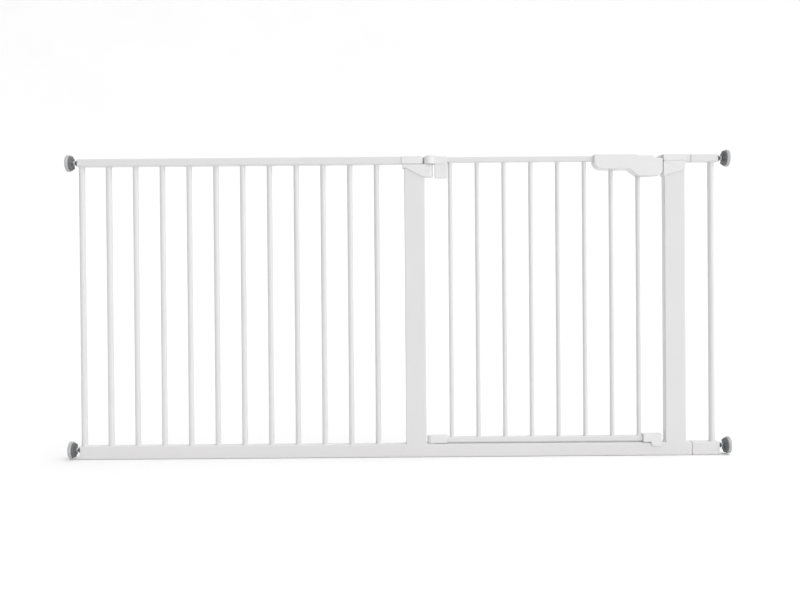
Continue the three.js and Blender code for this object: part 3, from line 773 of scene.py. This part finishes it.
def door_socket(node, start, end):
    """The space that a door rail's end takes inside a moulding."""
    low, high = box_mm(node)
    return block(
        (start, low.y - CLEARANCE, low.z - CLEARANCE),
        (end, high.y + CLEARANCE, high.z + CLEARANCE),
    )


def hinge_axis_x():
    low, high = box_mm("upper_hinge_pin")
    return (low.x + high.x) / 2


def dress_hinge_arm():
    """The arm: a barrel that turns over the housing's ear, a beam, and a block beside the first bar."""
    axis = hinge_axis_x()
    low, high = box_mm("hinge_arm")
    barrel = axis - low.x
    shelf = box_mm("extension_top_rail")[0].z
    meet = math.degrees(math.asin(ARM_BEAM_HALF / barrel))
    beam_start = axis + ARM_BEAM_START
    corners = rounded([
        (high.x, -ARM_BEAM_HALF, 2.5), (high.x, ARM_BEAM_HALF, 2.5),
        (beam_start, ARM_BEAM_HALF, 0), (beam_start, -ARM_BEAM_HALF, 0),
    ], 5)[:-2]
    outline = corners + arc(axis, 0, barrel, meet, 360 - meet, 40)
    arm = bmesh.new()
    prism(arm, "z", outline, shelf, high.z, 0.8, 1.4, 4)
    block_outline = rectangle(axis + ARM_BLOCK_START, high.x - 0.4, -ARM_BLOCK_HALF, ARM_BLOCK_HALF, 2.0)
    block_below = bmesh.new()
    prism(block_below, "z", block_outline, low.z, shelf + 1.5, 0.7, 0, 3)
    bore = rod("z", (axis, 0), PIN_BORE, shelf - 5, high.z + 5)
    rail_low = box_mm("door_top_rail")[0]
    socket = door_socket("door_top_rail", rail_low.x - CLEARANCE, high.x + 2)
    piece("hinge_arm_moulding", carved(joined(arm, block_below), bore, socket), "hinge_arm")

    low, high = box_mm("hinge_cap")
    radius = (high.y - low.y) / 2
    oval = arc(high.x - radius, 0, radius, -90, 90, 20) + arc(low.x + radius, 0, radius, 90, 270, 20)
    cap = bmesh.new()
    prism(cap, "z", oval, low.z, high.z - CAP_STEP_DROP, 0.2, 1.3, 6)
    prism(cap, "z", inset(oval, CAP_STEP_INSET), high.z - 1.0, high.z, 0.0, 0.8, 4)
    piece("hinge_cap_moulding", cap, "hinge_cap")


def turned_pin(node):
    low, high = box_mm(node)
    radius = (high.x - low.x) / 2
    profile = [
        (radius - 1.2, low.z), (radius - 0.3, low.z + 0.6), (radius, low.z + 1.2),
        (radius, high.z - 1.2), (radius - 0.3, high.z - 0.6), (radius - 1.2, high.z),
    ]
    bm = bmesh.new()
    lathe(bm, "z", (hinge_axis_x(), 0), profile)
    piece(f"{node}_turned", bm, node)


def dress_pins_and_bushes():
    turned_pin("upper_hinge_pin")
    turned_pin("lower_hinge_pin")
    axis = hinge_axis_x()
    low, high = box_mm("upper_bush")
    radius = (high.x - low.x) / 2
    bm = bmesh.new()
    lathe(bm, "z", (axis, 0), [
        (radius - 0.4, low.z), (radius, low.z + 0.4), (radius, high.z - 0.3), (radius - 0.3, high.z),
        (PIN_BORE + 0.3, high.z), (PIN_BORE, high.z - BUSH_LIP), (PIN_BORE, low.z + BUSH_LIP),
        (PIN_BORE + 0.3, low.z),
    ], loop=True)
    piece("upper_bush_turned", bm, "upper_bush")
    low, high = box_mm("lower_bush")
    flange = (high.x - low.x) / 2
    seat = box_mm("frame_bottom_rail")[1].z + 0.2
    bm = bmesh.new()
    lathe(bm, "z", (axis, 0), [
        (7.4, low.z), (8.0, low.z + 0.6), (8.0, seat), (flange - 0.2, seat), (flange, seat + 0.3),
        (flange - 0.1, high.z - 0.2), (flange - 0.4, high.z), (SPINDLE_BORE + 0.4, high.z),
        (SPINDLE_BORE, high.z - BUSH_LIP), (SPINDLE_BORE, low.z + BUSH_LIP), (SPINDLE_BORE + 0.4, low.z),
    ], loop=True)
    piece("lower_bush_turned", bm, "lower_bush")


def dress_shoes():
    axis = hinge_axis_x()
    low, high = box_mm("hinge_shoe")
    half = high.y
    outline = rounded([(high.x, -half, 3), (high.x, half, 3), (axis, half, 0), (axis, -half, 0)], 5)[:-2]
    outline += arc(axis, 0, half, 90, 270, 30)
    shoe = bmesh.new()
    prism(shoe, "z", outline, low.z, high.z, 0.8, 2.0, 5)
    pin_bore = rod("z", (axis, 0), SPINDLE_BORE, low.z - 5, box_mm("lower_hinge_pin")[1].z + CLEARANCE)
    rail_low, rail_high = box_mm("door_bottom_rail")
    socket = door_socket("door_bottom_rail", rail_low.x - CLEARANCE, high.x + 2)
    piece("hinge_shoe_moulding", carved(shoe, pin_bore, socket), "hinge_shoe")

    low, high = box_mm("latch_shoe")
    body = rectangle(low.x, high.x, low.y, high.y, 3.0)
    foot = box_mm("hinge_shoe")[0].z
    shoe = bmesh.new()
    prism(shoe, "z", body, foot, high.z, 0.6, 2.0, 5)
    tongue_left, tongue_right = low.x + TONGUE_START, high.x - TONGUE_END
    tongue_outline = rounded([
        (tongue_left, foot - 4.5, 2.0), (tongue_left + 4.5, low.z, 3.0), (tongue_right, low.z, 2.5),
        (tongue_right, foot + 3, 0), (tongue_left, foot + 3, 0),
    ], 5)
    tongue = bmesh.new()
    prism(tongue, "y", tongue_outline, low.y + 0.05, low.y + TONGUE_THICKNESS, 0.7, 0.4, 3)
    shoe = joined(shoe, tongue)
    socket = door_socket("door_bottom_rail", low.x - 2, rail_high.x + CLEARANCE)
    piece("latch_shoe_moulding", carved(shoe, socket), "latch_shoe")


# Housings


def housing_cover(band_left, band_right, seam, top, depth, shield_outline):
    """A housing's smooth top band and the slightly proud shield below it."""
    band = bmesh.new()
    band_outline = rectangle(band_left, band_right, seam, top, HOUSING_CORNER)
    prism(band, "y", band_outline, -depth + SEAM, depth - SEAM, BAND_ROUND, BAND_ROUND)
    shield = bmesh.new()
    prism(shield, "y", shield_outline, -depth, depth, SHIELD_ROUND, SHIELD_ROUND)
    return band, shield


def dress_hinge_housing():
    """A cap over the hinge post: a band, a shield, and the ear with its web."""
    axis = hinge_axis_x()
    low, high = box_mm("hinge_housing")
    shelf = box_mm("extension_top_rail")[0].z
    shield_top = shelf - SHIELD_GAP
    depth = high.y
    shield_outline = rounded([
        (low.x + 1.5, HINGE_SHIELD_STEP, 1.5), (low.x + 8.5, HINGE_SHIELD_STEP, 5),
        (HINGE_SHIELD_SLOPE_END, low.z, 7), (HINGE_SHIELD_RIGHT, low.z, 1.5),
        (HINGE_SHIELD_RIGHT, shield_top, 0.6), (low.x + 1.5, shield_top, 0.6),
    ])
    band, shield = housing_cover(low.x, HINGE_BAND_RIGHT, shelf, high.z, depth, shield_outline)
    core = block(
        (low.x + 4, -depth + CORE_INSET, shelf - CORE_HALF_HEIGHT),
        (HINGE_BAND_RIGHT - 3, depth - CORE_INSET, shelf + CORE_HALF_HEIGHT),
    )
    ear_radius = high.x - axis
    web = block((WEB_START, -ear_radius, low.z), (axis, ear_radius, shield_top))
    ear = bmesh.new()
    lathe(ear, "z", (axis, 0), [
        (ear_radius - 0.5, low.z), (ear_radius, low.z + 0.5), (ear_radius, shelf - 1.2),
        (ear_radius - 0.5, shield_top),
    ])
    post_left, post_right = HINGE_POST_POCKET
    inside = HOUSING_INSIDE
    pockets = [
        block((post_left, -inside, 660), (post_right, inside, 709)),
        block((post_left, -inside, 700), (57.3, inside, HOUSING_POST_ROOF)),
        block((0, -inside, shelf - CLEARANCE), (17.3, inside, HOUSING_RAIL_ROOF)),
        rod("z", (axis, 0), EAR_SPACE_RADIUS, shield_top, 740, 64),
        rod("z", (axis, 0), EAR_BORE, low.z - 2, 740),
    ]
    rear_lip = block((HINGE_BAND_RIGHT - 3, 4, shelf), (HINGE_BAND_RIGHT + 5.5, depth - SEAM, high.z - 1))
    housing = carved(joined(band, shield, core, web, ear, rear_lip), *pockets)
    piece("hinge_housing_moulding", housing, "hinge_housing", sharp=30)


def dress_latch_housing():
    """A cap over the latch post, with the beak that reaches behind the handle's front shell."""
    low, high = box_mm("latch_housing")
    depth = high.y
    left = LATCH_BAND_LEFT
    seam = high.z - LATCH_BAND_HEIGHT
    shield_top = seam - SHIELD_GAP
    shield_outline = rounded([
        (left, low.z, 1.6), (high.x - 1, low.z + 16, 4.5), (high.x - 1, shield_top, 2.2),
        (left, shield_top, 0.6),
    ])
    band, shield = housing_cover(left, high.x, seam, high.z, depth, shield_outline)
    core = block(
        (left + 2, -depth + CORE_INSET, seam - CORE_HALF_HEIGHT),
        (high.x - 4, depth - CORE_INSET, seam + CORE_HALF_HEIGHT),
    )
    beak_foot = high.z - BEAK_HEIGHT
    beak_outline = rounded([
        (low.x, beak_foot, 1), (left + 2, beak_foot, 0), (left + 2, high.z, 0), (left - 6, high.z, 2.5),
        (low.x, high.z - 9.6, 1.2),
    ])
    beak = bmesh.new()
    prism(beak, "y", beak_outline, BEAK_FRONT, BEAK_REAR, 0.7, 0.7)
    post_left, post_right = LATCH_POST_POCKET
    rail_left, rail_right = LATCH_RAIL_POCKET
    inside = HOUSING_INSIDE
    pockets = [
        block((post_left, -inside, 650), (post_right, inside, HOUSING_POST_ROOF)),
        block((rail_left, -inside, 711.7), (rail_right, inside, HOUSING_RAIL_ROOF)),
    ]
    housing = carved(joined(band, shield, core, beak), *pockets)
    piece("latch_housing_moulding", housing, "latch_housing", sharp=30)


# Handle and latch


def handle_corners(left, right, bottom, top, full):
    """The handle from the front. It steps down over the slider, and is deeper at the latch end."""
    grip_bottom = bottom + GRIP_RISE
    deep_start = left + DEEP_START
    step = top - TOP_STEP_DROP
    corners = [(left, grip_bottom, 20), (left + GRIP_END, grip_bottom, 9), (deep_start, bottom, 9)]
    if full:
        corners += [(right, bottom, 14), (right, top - 10.5, 2.0), (left + 147.5, top - 10.5, 2.0)]
    else:
        corners += [(right, bottom, 4), (right, top - 9.9, 1.5)]
    corners += [(left + TOP_STEP_END, step, 2.0), (deep_start, step, 4)]
    return corners + [(left + TOP_STEP_START, top, 4), (left, top, 4.5)]


def handle_shell(side, node):
    """Half of the handle: a thin moulding that is open towards the other half."""
    low, high = box_mm(node)
    full = side < 0
    corners = handle_corners(low.x, high.x, low.z, high.z, full)
    face, parting = (low.y, high.y) if full else (high.y, low.y)
    shell = bmesh.new()
    rounds = (FRONT_EDGE_ROUND, PARTING_ROUND) if full else (PARTING_ROUND, REAR_EDGE_ROUND)
    soft_prism(shell, "y", corners, *sorted((face, parting)), *rounds)
    cavity = bmesh.new()
    inside = rounded(shrunk(corners, HANDLE_WALL), 6)
    cavity_end = face - side * (HANDLE_WALL if full else REAR_CAVITY_GAP)
    prism(cavity, "y", inside, *sorted((parting - side * 1.0, cavity_end)))
    slot = block(
        (low.x + SLIDER_SLOT[0], -SLIDER_SLOT_HALF, high.z - SLIDER_SLOT_DEPTH),
        (low.x + SLIDER_SLOT[1], SLIDER_SLOT_HALF, high.z + 9),
    )
    shell = carved(shell, cavity, slot, door_socket("door_top_rail", low.x - 5, low.x + 5))
    for bar in ("door_bar_7", "door_bar_8"):
        bar_low, bar_high = box_mm(bar)
        centre = (bar_low.x + bar_high.x) / 2
        hole = rod("z", (centre, 0), (bar_high.x - bar_low.x) / 2 + BAR_HOLE_GAP, low.z - 6, low.z + 24)
        shell = carved(shell, hole)
    return shell


def cross_head_screw(x, y, z):
    """A raised cross-head screw that faces the rear."""
    head = bmesh.new()
    lathe(head, "y", (x, z), [
        (1.6, y - 5), (1.6, y - 1.4), (3.4, y - 1.2), (3.5, y - 0.8), (3.2, y - 0.35), (2.3, y - 0.05),
        (1.0, y + 0.08),
    ], 36)
    long, thin = SCREW_CROSS_HALF_LENGTH, SCREW_CROSS_HALF_WIDTH
    depth = y - SCREW_CROSS_DEPTH
    across = block((x - long, depth, z - thin), (x + long, y + 2, z + thin))
    upright = block((x - thin, depth, z - long), (x + thin, y + 2, z + long))
    return carved(head, across, upright)


def dress_handle():
    front = handle_shell(-1, "handle_front_shell")
    low, high = box_mm("handle_front_shell")
    stop = block((low.x + 86, low.y + 2, low.z + 23.7), (low.x + 90.7, -7.5, low.z + 34.2))
    piece("handle_front_moulding", joined(front, stop), "handle_front_shell", sharp=30)
    rear = handle_shell(1, "handle_rear_shell")
    low, high = box_mm("handle_rear_shell")
    screws = bmesh.new()
    for right, up in HANDLE_SCREWS:
        x, z = low.x + right, low.z + up
        rear = carved(rear, rod("y", (x, z), SCREW_SEAT_RADIUS, high.y - SCREW_SEAT_DEPTH, high.y + 3))
        absorb(screws, cross_head_screw(x, high.y - SCREW_SINK, z))
    piece("handle_rear_moulding", rear, "handle_rear_shell", sharp=30)
    piece("handle_screws", screws, "handle_rear_shell", slot="plain_steel", stands_in=False)


def dress_latch():
    low, high = box_mm("thumb_slider")
    pad_low = high.z - SLIDER_PAD_HEIGHT
    valley = high.z - RIDGE_HEIGHT
    corners = [(low.x, pad_low, 0.8), (high.x, pad_low, 0.8), (high.x, valley, 0.8)]
    pitch = (high.x - low.x - 2 * SLIDER_MARGIN) / SLIDER_RIDGES
    foot, crest = pitch * RIDGE_FOOT, pitch * RIDGE_CREST
    for i in range(SLIDER_RIDGES, 0, -1):
        peak = low.x + SLIDER_MARGIN + (i - 0.5) * pitch
        corners += [(peak + foot, valley, 0.3), (peak + crest, high.z, 0.35)]
        corners += [(peak - crest, high.z, 0.35), (peak - foot, valley, 0.3)]
    corners.append((low.x, valley, 0.8))
    pad = bmesh.new()
    prism(pad, "y", rounded(corners, 3), low.y, high.y, 0.6, 0.6, 3)
    stem = bmesh.new()
    prism(stem, "z", rectangle(high.x - 10, high.x - 2, -6, 6, 0.6, 3), low.z, pad_low + 0.6)
    piece("thumb_slider_moulding", joined(pad, stem), "thumb_slider")

    low, high = box_mm("latch_bolt")
    tail_outline = rectangle(low.x, low.x + BOLT_TAIL_LENGTH, low.z, high.z - 0.1, 0.9, 4)
    nose_back = low.y + BOLT_NOSE_BACK
    nose_bottom = low.z + BOLT_NOSE_RISE
    nose = bmesh.new()
    nose_outline = rounded([
        (low.x + 2, nose_bottom, 0.5), (high.x - 3, nose_bottom, 1.5), (high.x, nose_bottom + 3, 1.5),
        (high.x, high.z, 1), (low.x + 2, high.z, 0.5),
    ])
    prism(nose, "y", nose_outline, nose_back, high.y, 0.7, 0.7, 3)
    tail = bmesh.new()
    prism(tail, "y", tail_outline, low.y, high.y - 0.1, 0.6, 0.6, 3)
    piece("latch_bolt_moulding", joined(nose, tail), "latch_bolt")
    dress_spring()


def dress_spring():
    """A helical spring with closed end turns."""
    low, high = box_mm("latch_spring")
    centre_y, centre_z = (low.y + high.y) / 2, (low.z + high.z) / 2
    wire = SPRING_WIRE
    coil = (high.z - low.z) / 2 - wire
    start, end = low.x + wire, high.x - wire
    rings = []
    count = SPRING_TURNS * SPRING_STEPS
    for i in range(count + 1):
        share = i / count
        eased = share - math.sin(2 * math.pi * share) / (2 * math.pi) * SPRING_END_CLOSING
        x = start + (end - start) * eased
        angle = 2 * math.pi * SPRING_TURNS * share
        outward = Vector((0, math.cos(angle), math.sin(angle)))
        centre = Vector((x, centre_y, centre_z)) + outward * coil
        ring = []
        for k in range(SPRING_SIDES):
            around = 2 * math.pi * k / SPRING_SIDES
            sideways = Vector((wire * math.sin(around), 0, 0))
            ring.append(centre + outward * (wire * math.cos(around)) + sideways)
        rings.append(ring)
    bm = bmesh.new()
    skin(bm, rings)
    spring = piece("latch_spring_wire", bm, "latch_spring")
    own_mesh(spring)


# Wall fittings


def threaded_rod(bm, side, inner, outer, z, radius):
    """A screw thread as rows of rings whose radius follows the helix. It fades out at both ends."""
    length = abs(outer - inner)
    rows = int(length / THREAD_PITCH * THREAD_ROWS)
    rings = [[(inner, p.x, p.y) for p in circle(0, z, radius - SPINDLE_INNER_CHAMFER, THREAD_SIDES)]]
    for row in range(rows + 1):
        along = length * row / rows
        end_gap = min(along, length - along)
        taper = max(0.0, 1 - end_gap / THREAD_RUNOUT)
        ring = []
        for i in range(THREAD_SIDES):
            share = i / THREAD_SIDES
            phase = (along / THREAD_PITCH + side * share) % 1
            ridge = 1 - abs(2 * phase - 1)
            reach = radius - THREAD_DEPTH * (1 - ridge) - taper * THREAD_RUNOUT_DEPTH
            angle = 2 * math.pi * share
            ring.append((inner + side * along, reach * math.cos(angle), z + reach * math.sin(angle)))
        rings.append(ring)
    rings.append([(outer, p.x, p.y) for p in circle(0, z, radius - SPINDLE_OUTER_CHAMFER, THREAD_SIDES)])
    skin(bm, rings)


def hexagon_reach(angle, across_flats):
    sector = math.pi / 3
    return across_flats / 2 / math.cos((angle + sector / 2) % sector - sector / 2)


def flanged_nut(bm, side, inner, outer, z):
    """A hexagon nut with a wide flange that bears on the rail's end plug.

    Each row is a radius, a depth, and whether the hexagon's flats cut into it.
    """
    flange = NUT_FLANGE
    past_corners = 99.0
    rows = [
        (SPINDLE_BORE + 0.5, 0.0, False), (flange - 0.4, 0.0, False), (flange, 0.4, False),
        (flange, 1.6, False), (flange - 0.7, 2.1, False), (6.2, 2.4, True), (past_corners, 2.9, True),
        (past_corners, 4.9, True), (6.1, NUT_HEIGHT, True), (SPINDLE_BORE + 0.3, NUT_HEIGHT, False),
        (SPINDLE_BORE, 5.2, False), (SPINDLE_BORE, 0.5, False),
    ]
    thickness = abs(outer - inner)
    rings = []
    for reach, depth, hexagonal in rows:
        ring = []
        for i in range(NUT_SIDES):
            angle = 2 * math.pi * i / NUT_SIDES
            radius = min(reach, hexagon_reach(angle, NUT_ACROSS_FLATS)) if hexagonal else reach
            if reach == flange:
                radius -= NUT_KNURL_DEPTH * max(0.0, math.cos(NUT_KNURLS * angle))
            x = inner + side * depth * thickness / NUT_HEIGHT
            ring.append((x, radius * math.cos(angle), z + radius * math.sin(angle)))
        rings.append(ring)
    skin(bm, rings, loop=True)


def cup_rows(back, front, rim, tip):
    """The cup's profile as (radius, depth, rib), from inside its socket over the dome to the rim."""
    depth = front - back
    rows = [
        (1.0, tip, 0), (SPINDLE_BORE, tip, 0), (SPINDLE_BORE, back + 0.5, 0), (SPINDLE_BORE + 0.5, back, 0),
        (7.4, back, 0), (8.1, back + 0.3, 0), (8.4, back + 0.8, 0),
    ]
    for k in range(CUP_DOME_STEPS + 1):
        angle = math.pi / 2 * k / CUP_DOME_STEPS
        radius = CUP_HUB + (rim - 0.4 - CUP_HUB) * math.sin(angle)
        along = back + 1.2 + (depth - 3.6) * (1 - math.cos(angle))
        rib = math.sin(math.pi * k / CUP_DOME_STEPS)
        rows.append((radius, along, rib))
    rows += [(rim, front - 1.8, 0), (rim, front - 0.5, 0), (rim - 0.5, front, 0), (1.0, front, 0)]
    return rows


def wall_cup(bm, side, low, high, z, tip):
    """A domed cup with radial ribs, whose socket takes the spindle's tip."""
    back, front = (low.x, high.x) if side > 0 else (-high.x, -low.x)
    rim = (high.z - low.z) / 2
    rings = []
    for radius, along, rib in cup_rows(back, front, rim, tip):
        ring = []
        for i in range(CUP_SIDES):
            angle = 2 * math.pi * i / CUP_SIDES
            crest = max(0.0, math.cos(CUP_RIBS * angle)) ** 3
            x = along + rib * (CUP_VALLEY - CUP_CREST * crest)
            ring.append((side * x, radius * math.cos(angle), z + radius * math.sin(angle)))
        rings.append(ring)
    skin(bm, rings)


def wall_pad(bm, side, low, high, z):
    """A rubber pad: a soft rounded rim, and ring-shaped ridges on the face that meets the wall."""
    back, wall = (low.x, high.x) if side > 0 else (-high.x, -low.x)
    rim = (high.z - low.z) / 2
    profile = [(1.0, back), (rim - 2.4, back), (rim - 1.6, back + 0.15), (rim - 0.5, back + 0.8)]
    profile += [(rim, back + 1.8), (rim, back + 3.0), (rim - 0.5, back + 3.4), (rim - 0.5, back + 3.9)]
    profile += [(rim, back + 4.3), (rim, wall - 1.8), (rim - 0.3, wall - 0.8), (rim - 1.0, wall - 0.2)]
    profile.append((rim - 1.8, wall))
    for groove in PAD_GROOVES:
        profile += [(groove + 1.0, wall), (groove + 0.5, wall - 0.9)]
        profile += [(groove - 0.5, wall - 0.9), (groove - 1.0, wall)]
    profile.append((1.0, wall))
    lathe(bm, "x", (0, z), [(radius, side * along) for radius, along in profile], 72)


def dress_fitting(name, side):
    low, high = box_mm(f"{name}_spindle")
    z = (low.z + high.z) / 2
    radius = (high.z - low.z) / 2
    inner, outer = (low.x, high.x) if side > 0 else (high.x, low.x)
    bm = bmesh.new()
    threaded_rod(bm, side, inner, outer, z, radius)
    piece(f"{name}_threaded_spindle", bm, f"{name}_spindle", sharp=70)
    tip = abs(outer) + CLEARANCE

    low, high = box_mm(f"{name}_nut")
    inner, outer = (low.x, high.x) if side > 0 else (high.x, low.x)
    bm = bmesh.new()
    flanged_nut(bm, side, inner, outer, z)
    piece(f"{name}_flanged_nut", bm, f"{name}_nut", sharp=30)

    bm = bmesh.new()
    wall_cup(bm, side, *box_mm(f"{name}_cup"), z, tip)
    piece(f"{name}_ribbed_cup", bm, f"{name}_cup", sharp=45)

    bm = bmesh.new()
    wall_pad(bm, side, *box_mm(f"{name}_pad"), z)
    piece(f"{name}_rubber_pad", bm, f"{name}_pad", sharp=50)


def dress_connectors():
    """The inner tubes stay as CAD made them, in plated steel."""
    for node in ("connector_top", "connector_bottom"):
        data = frame["nodes"][node].data
        data.materials.clear()
        data.materials.append(MATERIALS[SLOT_OF[node]])


# Studio


def add_camera():
    data = bpy.data.cameras.new("camera")
    data.lens = CAMERA_LENS
    data.sensor_fit = "HORIZONTAL"
    data.sensor_width = SENSOR_WIDTH
    data.clip_start = CAMERA_NEAR_M
    data.clip_end = CAMERA_FAR_M
    camera = bpy.data.objects.new("camera", data)
    bpy.context.scene.collection.objects.link(camera)
    turn = Matrix.Rotation(math.radians(CAMERA_YAW), 4, "Z")
    tilt = Matrix.Rotation(math.radians(90 + CAMERA_PITCH), 4, "X")
    roll = Matrix.Rotation(math.radians(CAMERA_ROLL), 4, "Z")
    camera.matrix_world = Matrix.Translation(Vector(CAMERA_PLACE) * MM) @ turn @ tilt @ roll
    bpy.context.scene.camera = camera


def add_area_light(name, place_mm, target_mm, size_m, power):
    data = bpy.data.lights.new(name, "AREA")
    data.shape = "RECTANGLE"
    data.size, data.size_y = size_m
    data.energy = power
    light = bpy.data.objects.new(name, data)
    bpy.context.scene.collection.objects.link(light)
    position = Vector(place_mm) * MM
    aim = Vector(target_mm) * MM - position
    light.location = position
    light.rotation_mode = "QUATERNION"
    light.rotation_quaternion = aim.to_track_quat("-Z", "Y")


def add_floor():
    """A pale paper floor that sweeps up into a wall far behind the gate."""
    half = FLOOR_SIZE / 2
    sweep = [Vector((-half, 0)), Vector((SWEEP_START, 0))]
    sweep += arc(SWEEP_START, SWEEP_RADIUS, SWEEP_RADIUS, -90, 0, SWEEP_STEPS)[1:]
    sweep.append(Vector((SWEEP_START + SWEEP_RADIUS, SWEEP_RADIUS + SWEEP_HEIGHT)))
    bm = bmesh.new()
    rows = []
    for x in (-half, half):
        rows.append([bm.verts.new((x * MM, p.x * MM, (p.y - FLOOR_DROP) * MM)) for p in sweep])
    for i in range(len(sweep) - 1):
        bm.faces.new((rows[0][i], rows[1][i], rows[1][i + 1], rows[0][i + 1]))
    mesh = bpy.data.meshes.new("studio_floor")
    bm.to_mesh(mesh)
    bm.free()
    mesh.shade_smooth()
    floor = bpy.data.objects.new("studio_floor", mesh)
    bpy.context.scene.collection.objects.link(floor)
    material = bpy.data.materials.new("floor_paper")
    material.use_nodes = True
    tree = material.node_tree
    shader = tree.nodes["Principled BSDF"]
    coordinates = add_node(tree, "ShaderNodeTexCoord").outputs["Object"]
    slow = noise(tree, coordinates, 1.5)
    tree.links.new(tinted(tree, slow, PAPER_DARK, PAPER_LIGHT), shader.inputs["Base Color"])
    shader.inputs["Roughness"].default_value = 0.9
    shader.inputs["Specular IOR Level"].default_value = 0.1
    mesh.materials.append(material)


def add_world():
    """A wide soft surround, brighter from above, the right and the front, that shows as plain white."""
    world = bpy.data.worlds.new("studio")
    bpy.context.scene.world = world
    world.use_nodes = True
    tree = world.node_tree
    background = tree.nodes["Background"]
    direction = add_node(tree, "ShaderNodeTexCoord").outputs["Generated"]
    towards_key = add_node(tree, "ShaderNodeVectorMath", operation="DOT_PRODUCT")
    towards_key.inputs[1].default_value = Vector(KEY_DIRECTION).normalized()
    tree.links.new(direction, towards_key.inputs[0])
    strength = add_node(tree, "ShaderNodeMapRange", {
        "From Min": -1.0, "From Max": 1.0, "To Min": SURROUND_DIM, "To Max": SURROUND_BRIGHT,
    })
    tree.links.new(towards_key.outputs["Value"], strength.inputs["Value"])
    least = add_node(tree, "ShaderNodeMath", operation="MAXIMUM")
    least.inputs[1].default_value = SURROUND_LEAST
    tree.links.new(strength.outputs["Result"], least.inputs[0])
    tree.links.new(least.outputs[0], background.inputs["Strength"])
    plain = add_node(tree, "ShaderNodeBackground", {"Color": (1, 1, 1, 1), "Strength": 1.0})
    seen = add_node(tree, "ShaderNodeLightPath").outputs["Is Camera Ray"]
    mix = add_node(tree, "ShaderNodeMixShader")
    background.inputs["Color"].default_value = (1, 1, 1, 1)
    tree.links.new(seen, mix.inputs[0])
    tree.links.new(background.outputs[0], mix.inputs[1])
    tree.links.new(plain.outputs[0], mix.inputs[2])
    tree.links.new(mix.outputs[0], tree.nodes["World Output"].inputs["Surface"])


def add_studio():
    add_camera()
    add_world()
    add_floor()
    add_area_light("key_light", KEY_PLACE, KEY_TARGET, KEY_SIZE_M, KEY_POWER)
    view = bpy.context.scene.view_settings
    view.view_transform = "Standard"
    view.look = "None"


def dress_gate():
    dress_long_extension()
    dress_gate_frame()
    dress_end_extensions()
    dress_connectors()
    dress_hinge_housing()
    dress_latch_housing()
    dress_pins_and_bushes()
    dress_door()
    dress_hinge_arm()
    dress_shoes()
    dress_handle()
    dress_latch()
    for name in ("top_left", "bottom_left"):
        dress_fitting(name, -1)
    for name in ("top_right", "bottom_right"):
        dress_fitting(name, 1)


dress_gate()
add_studio()
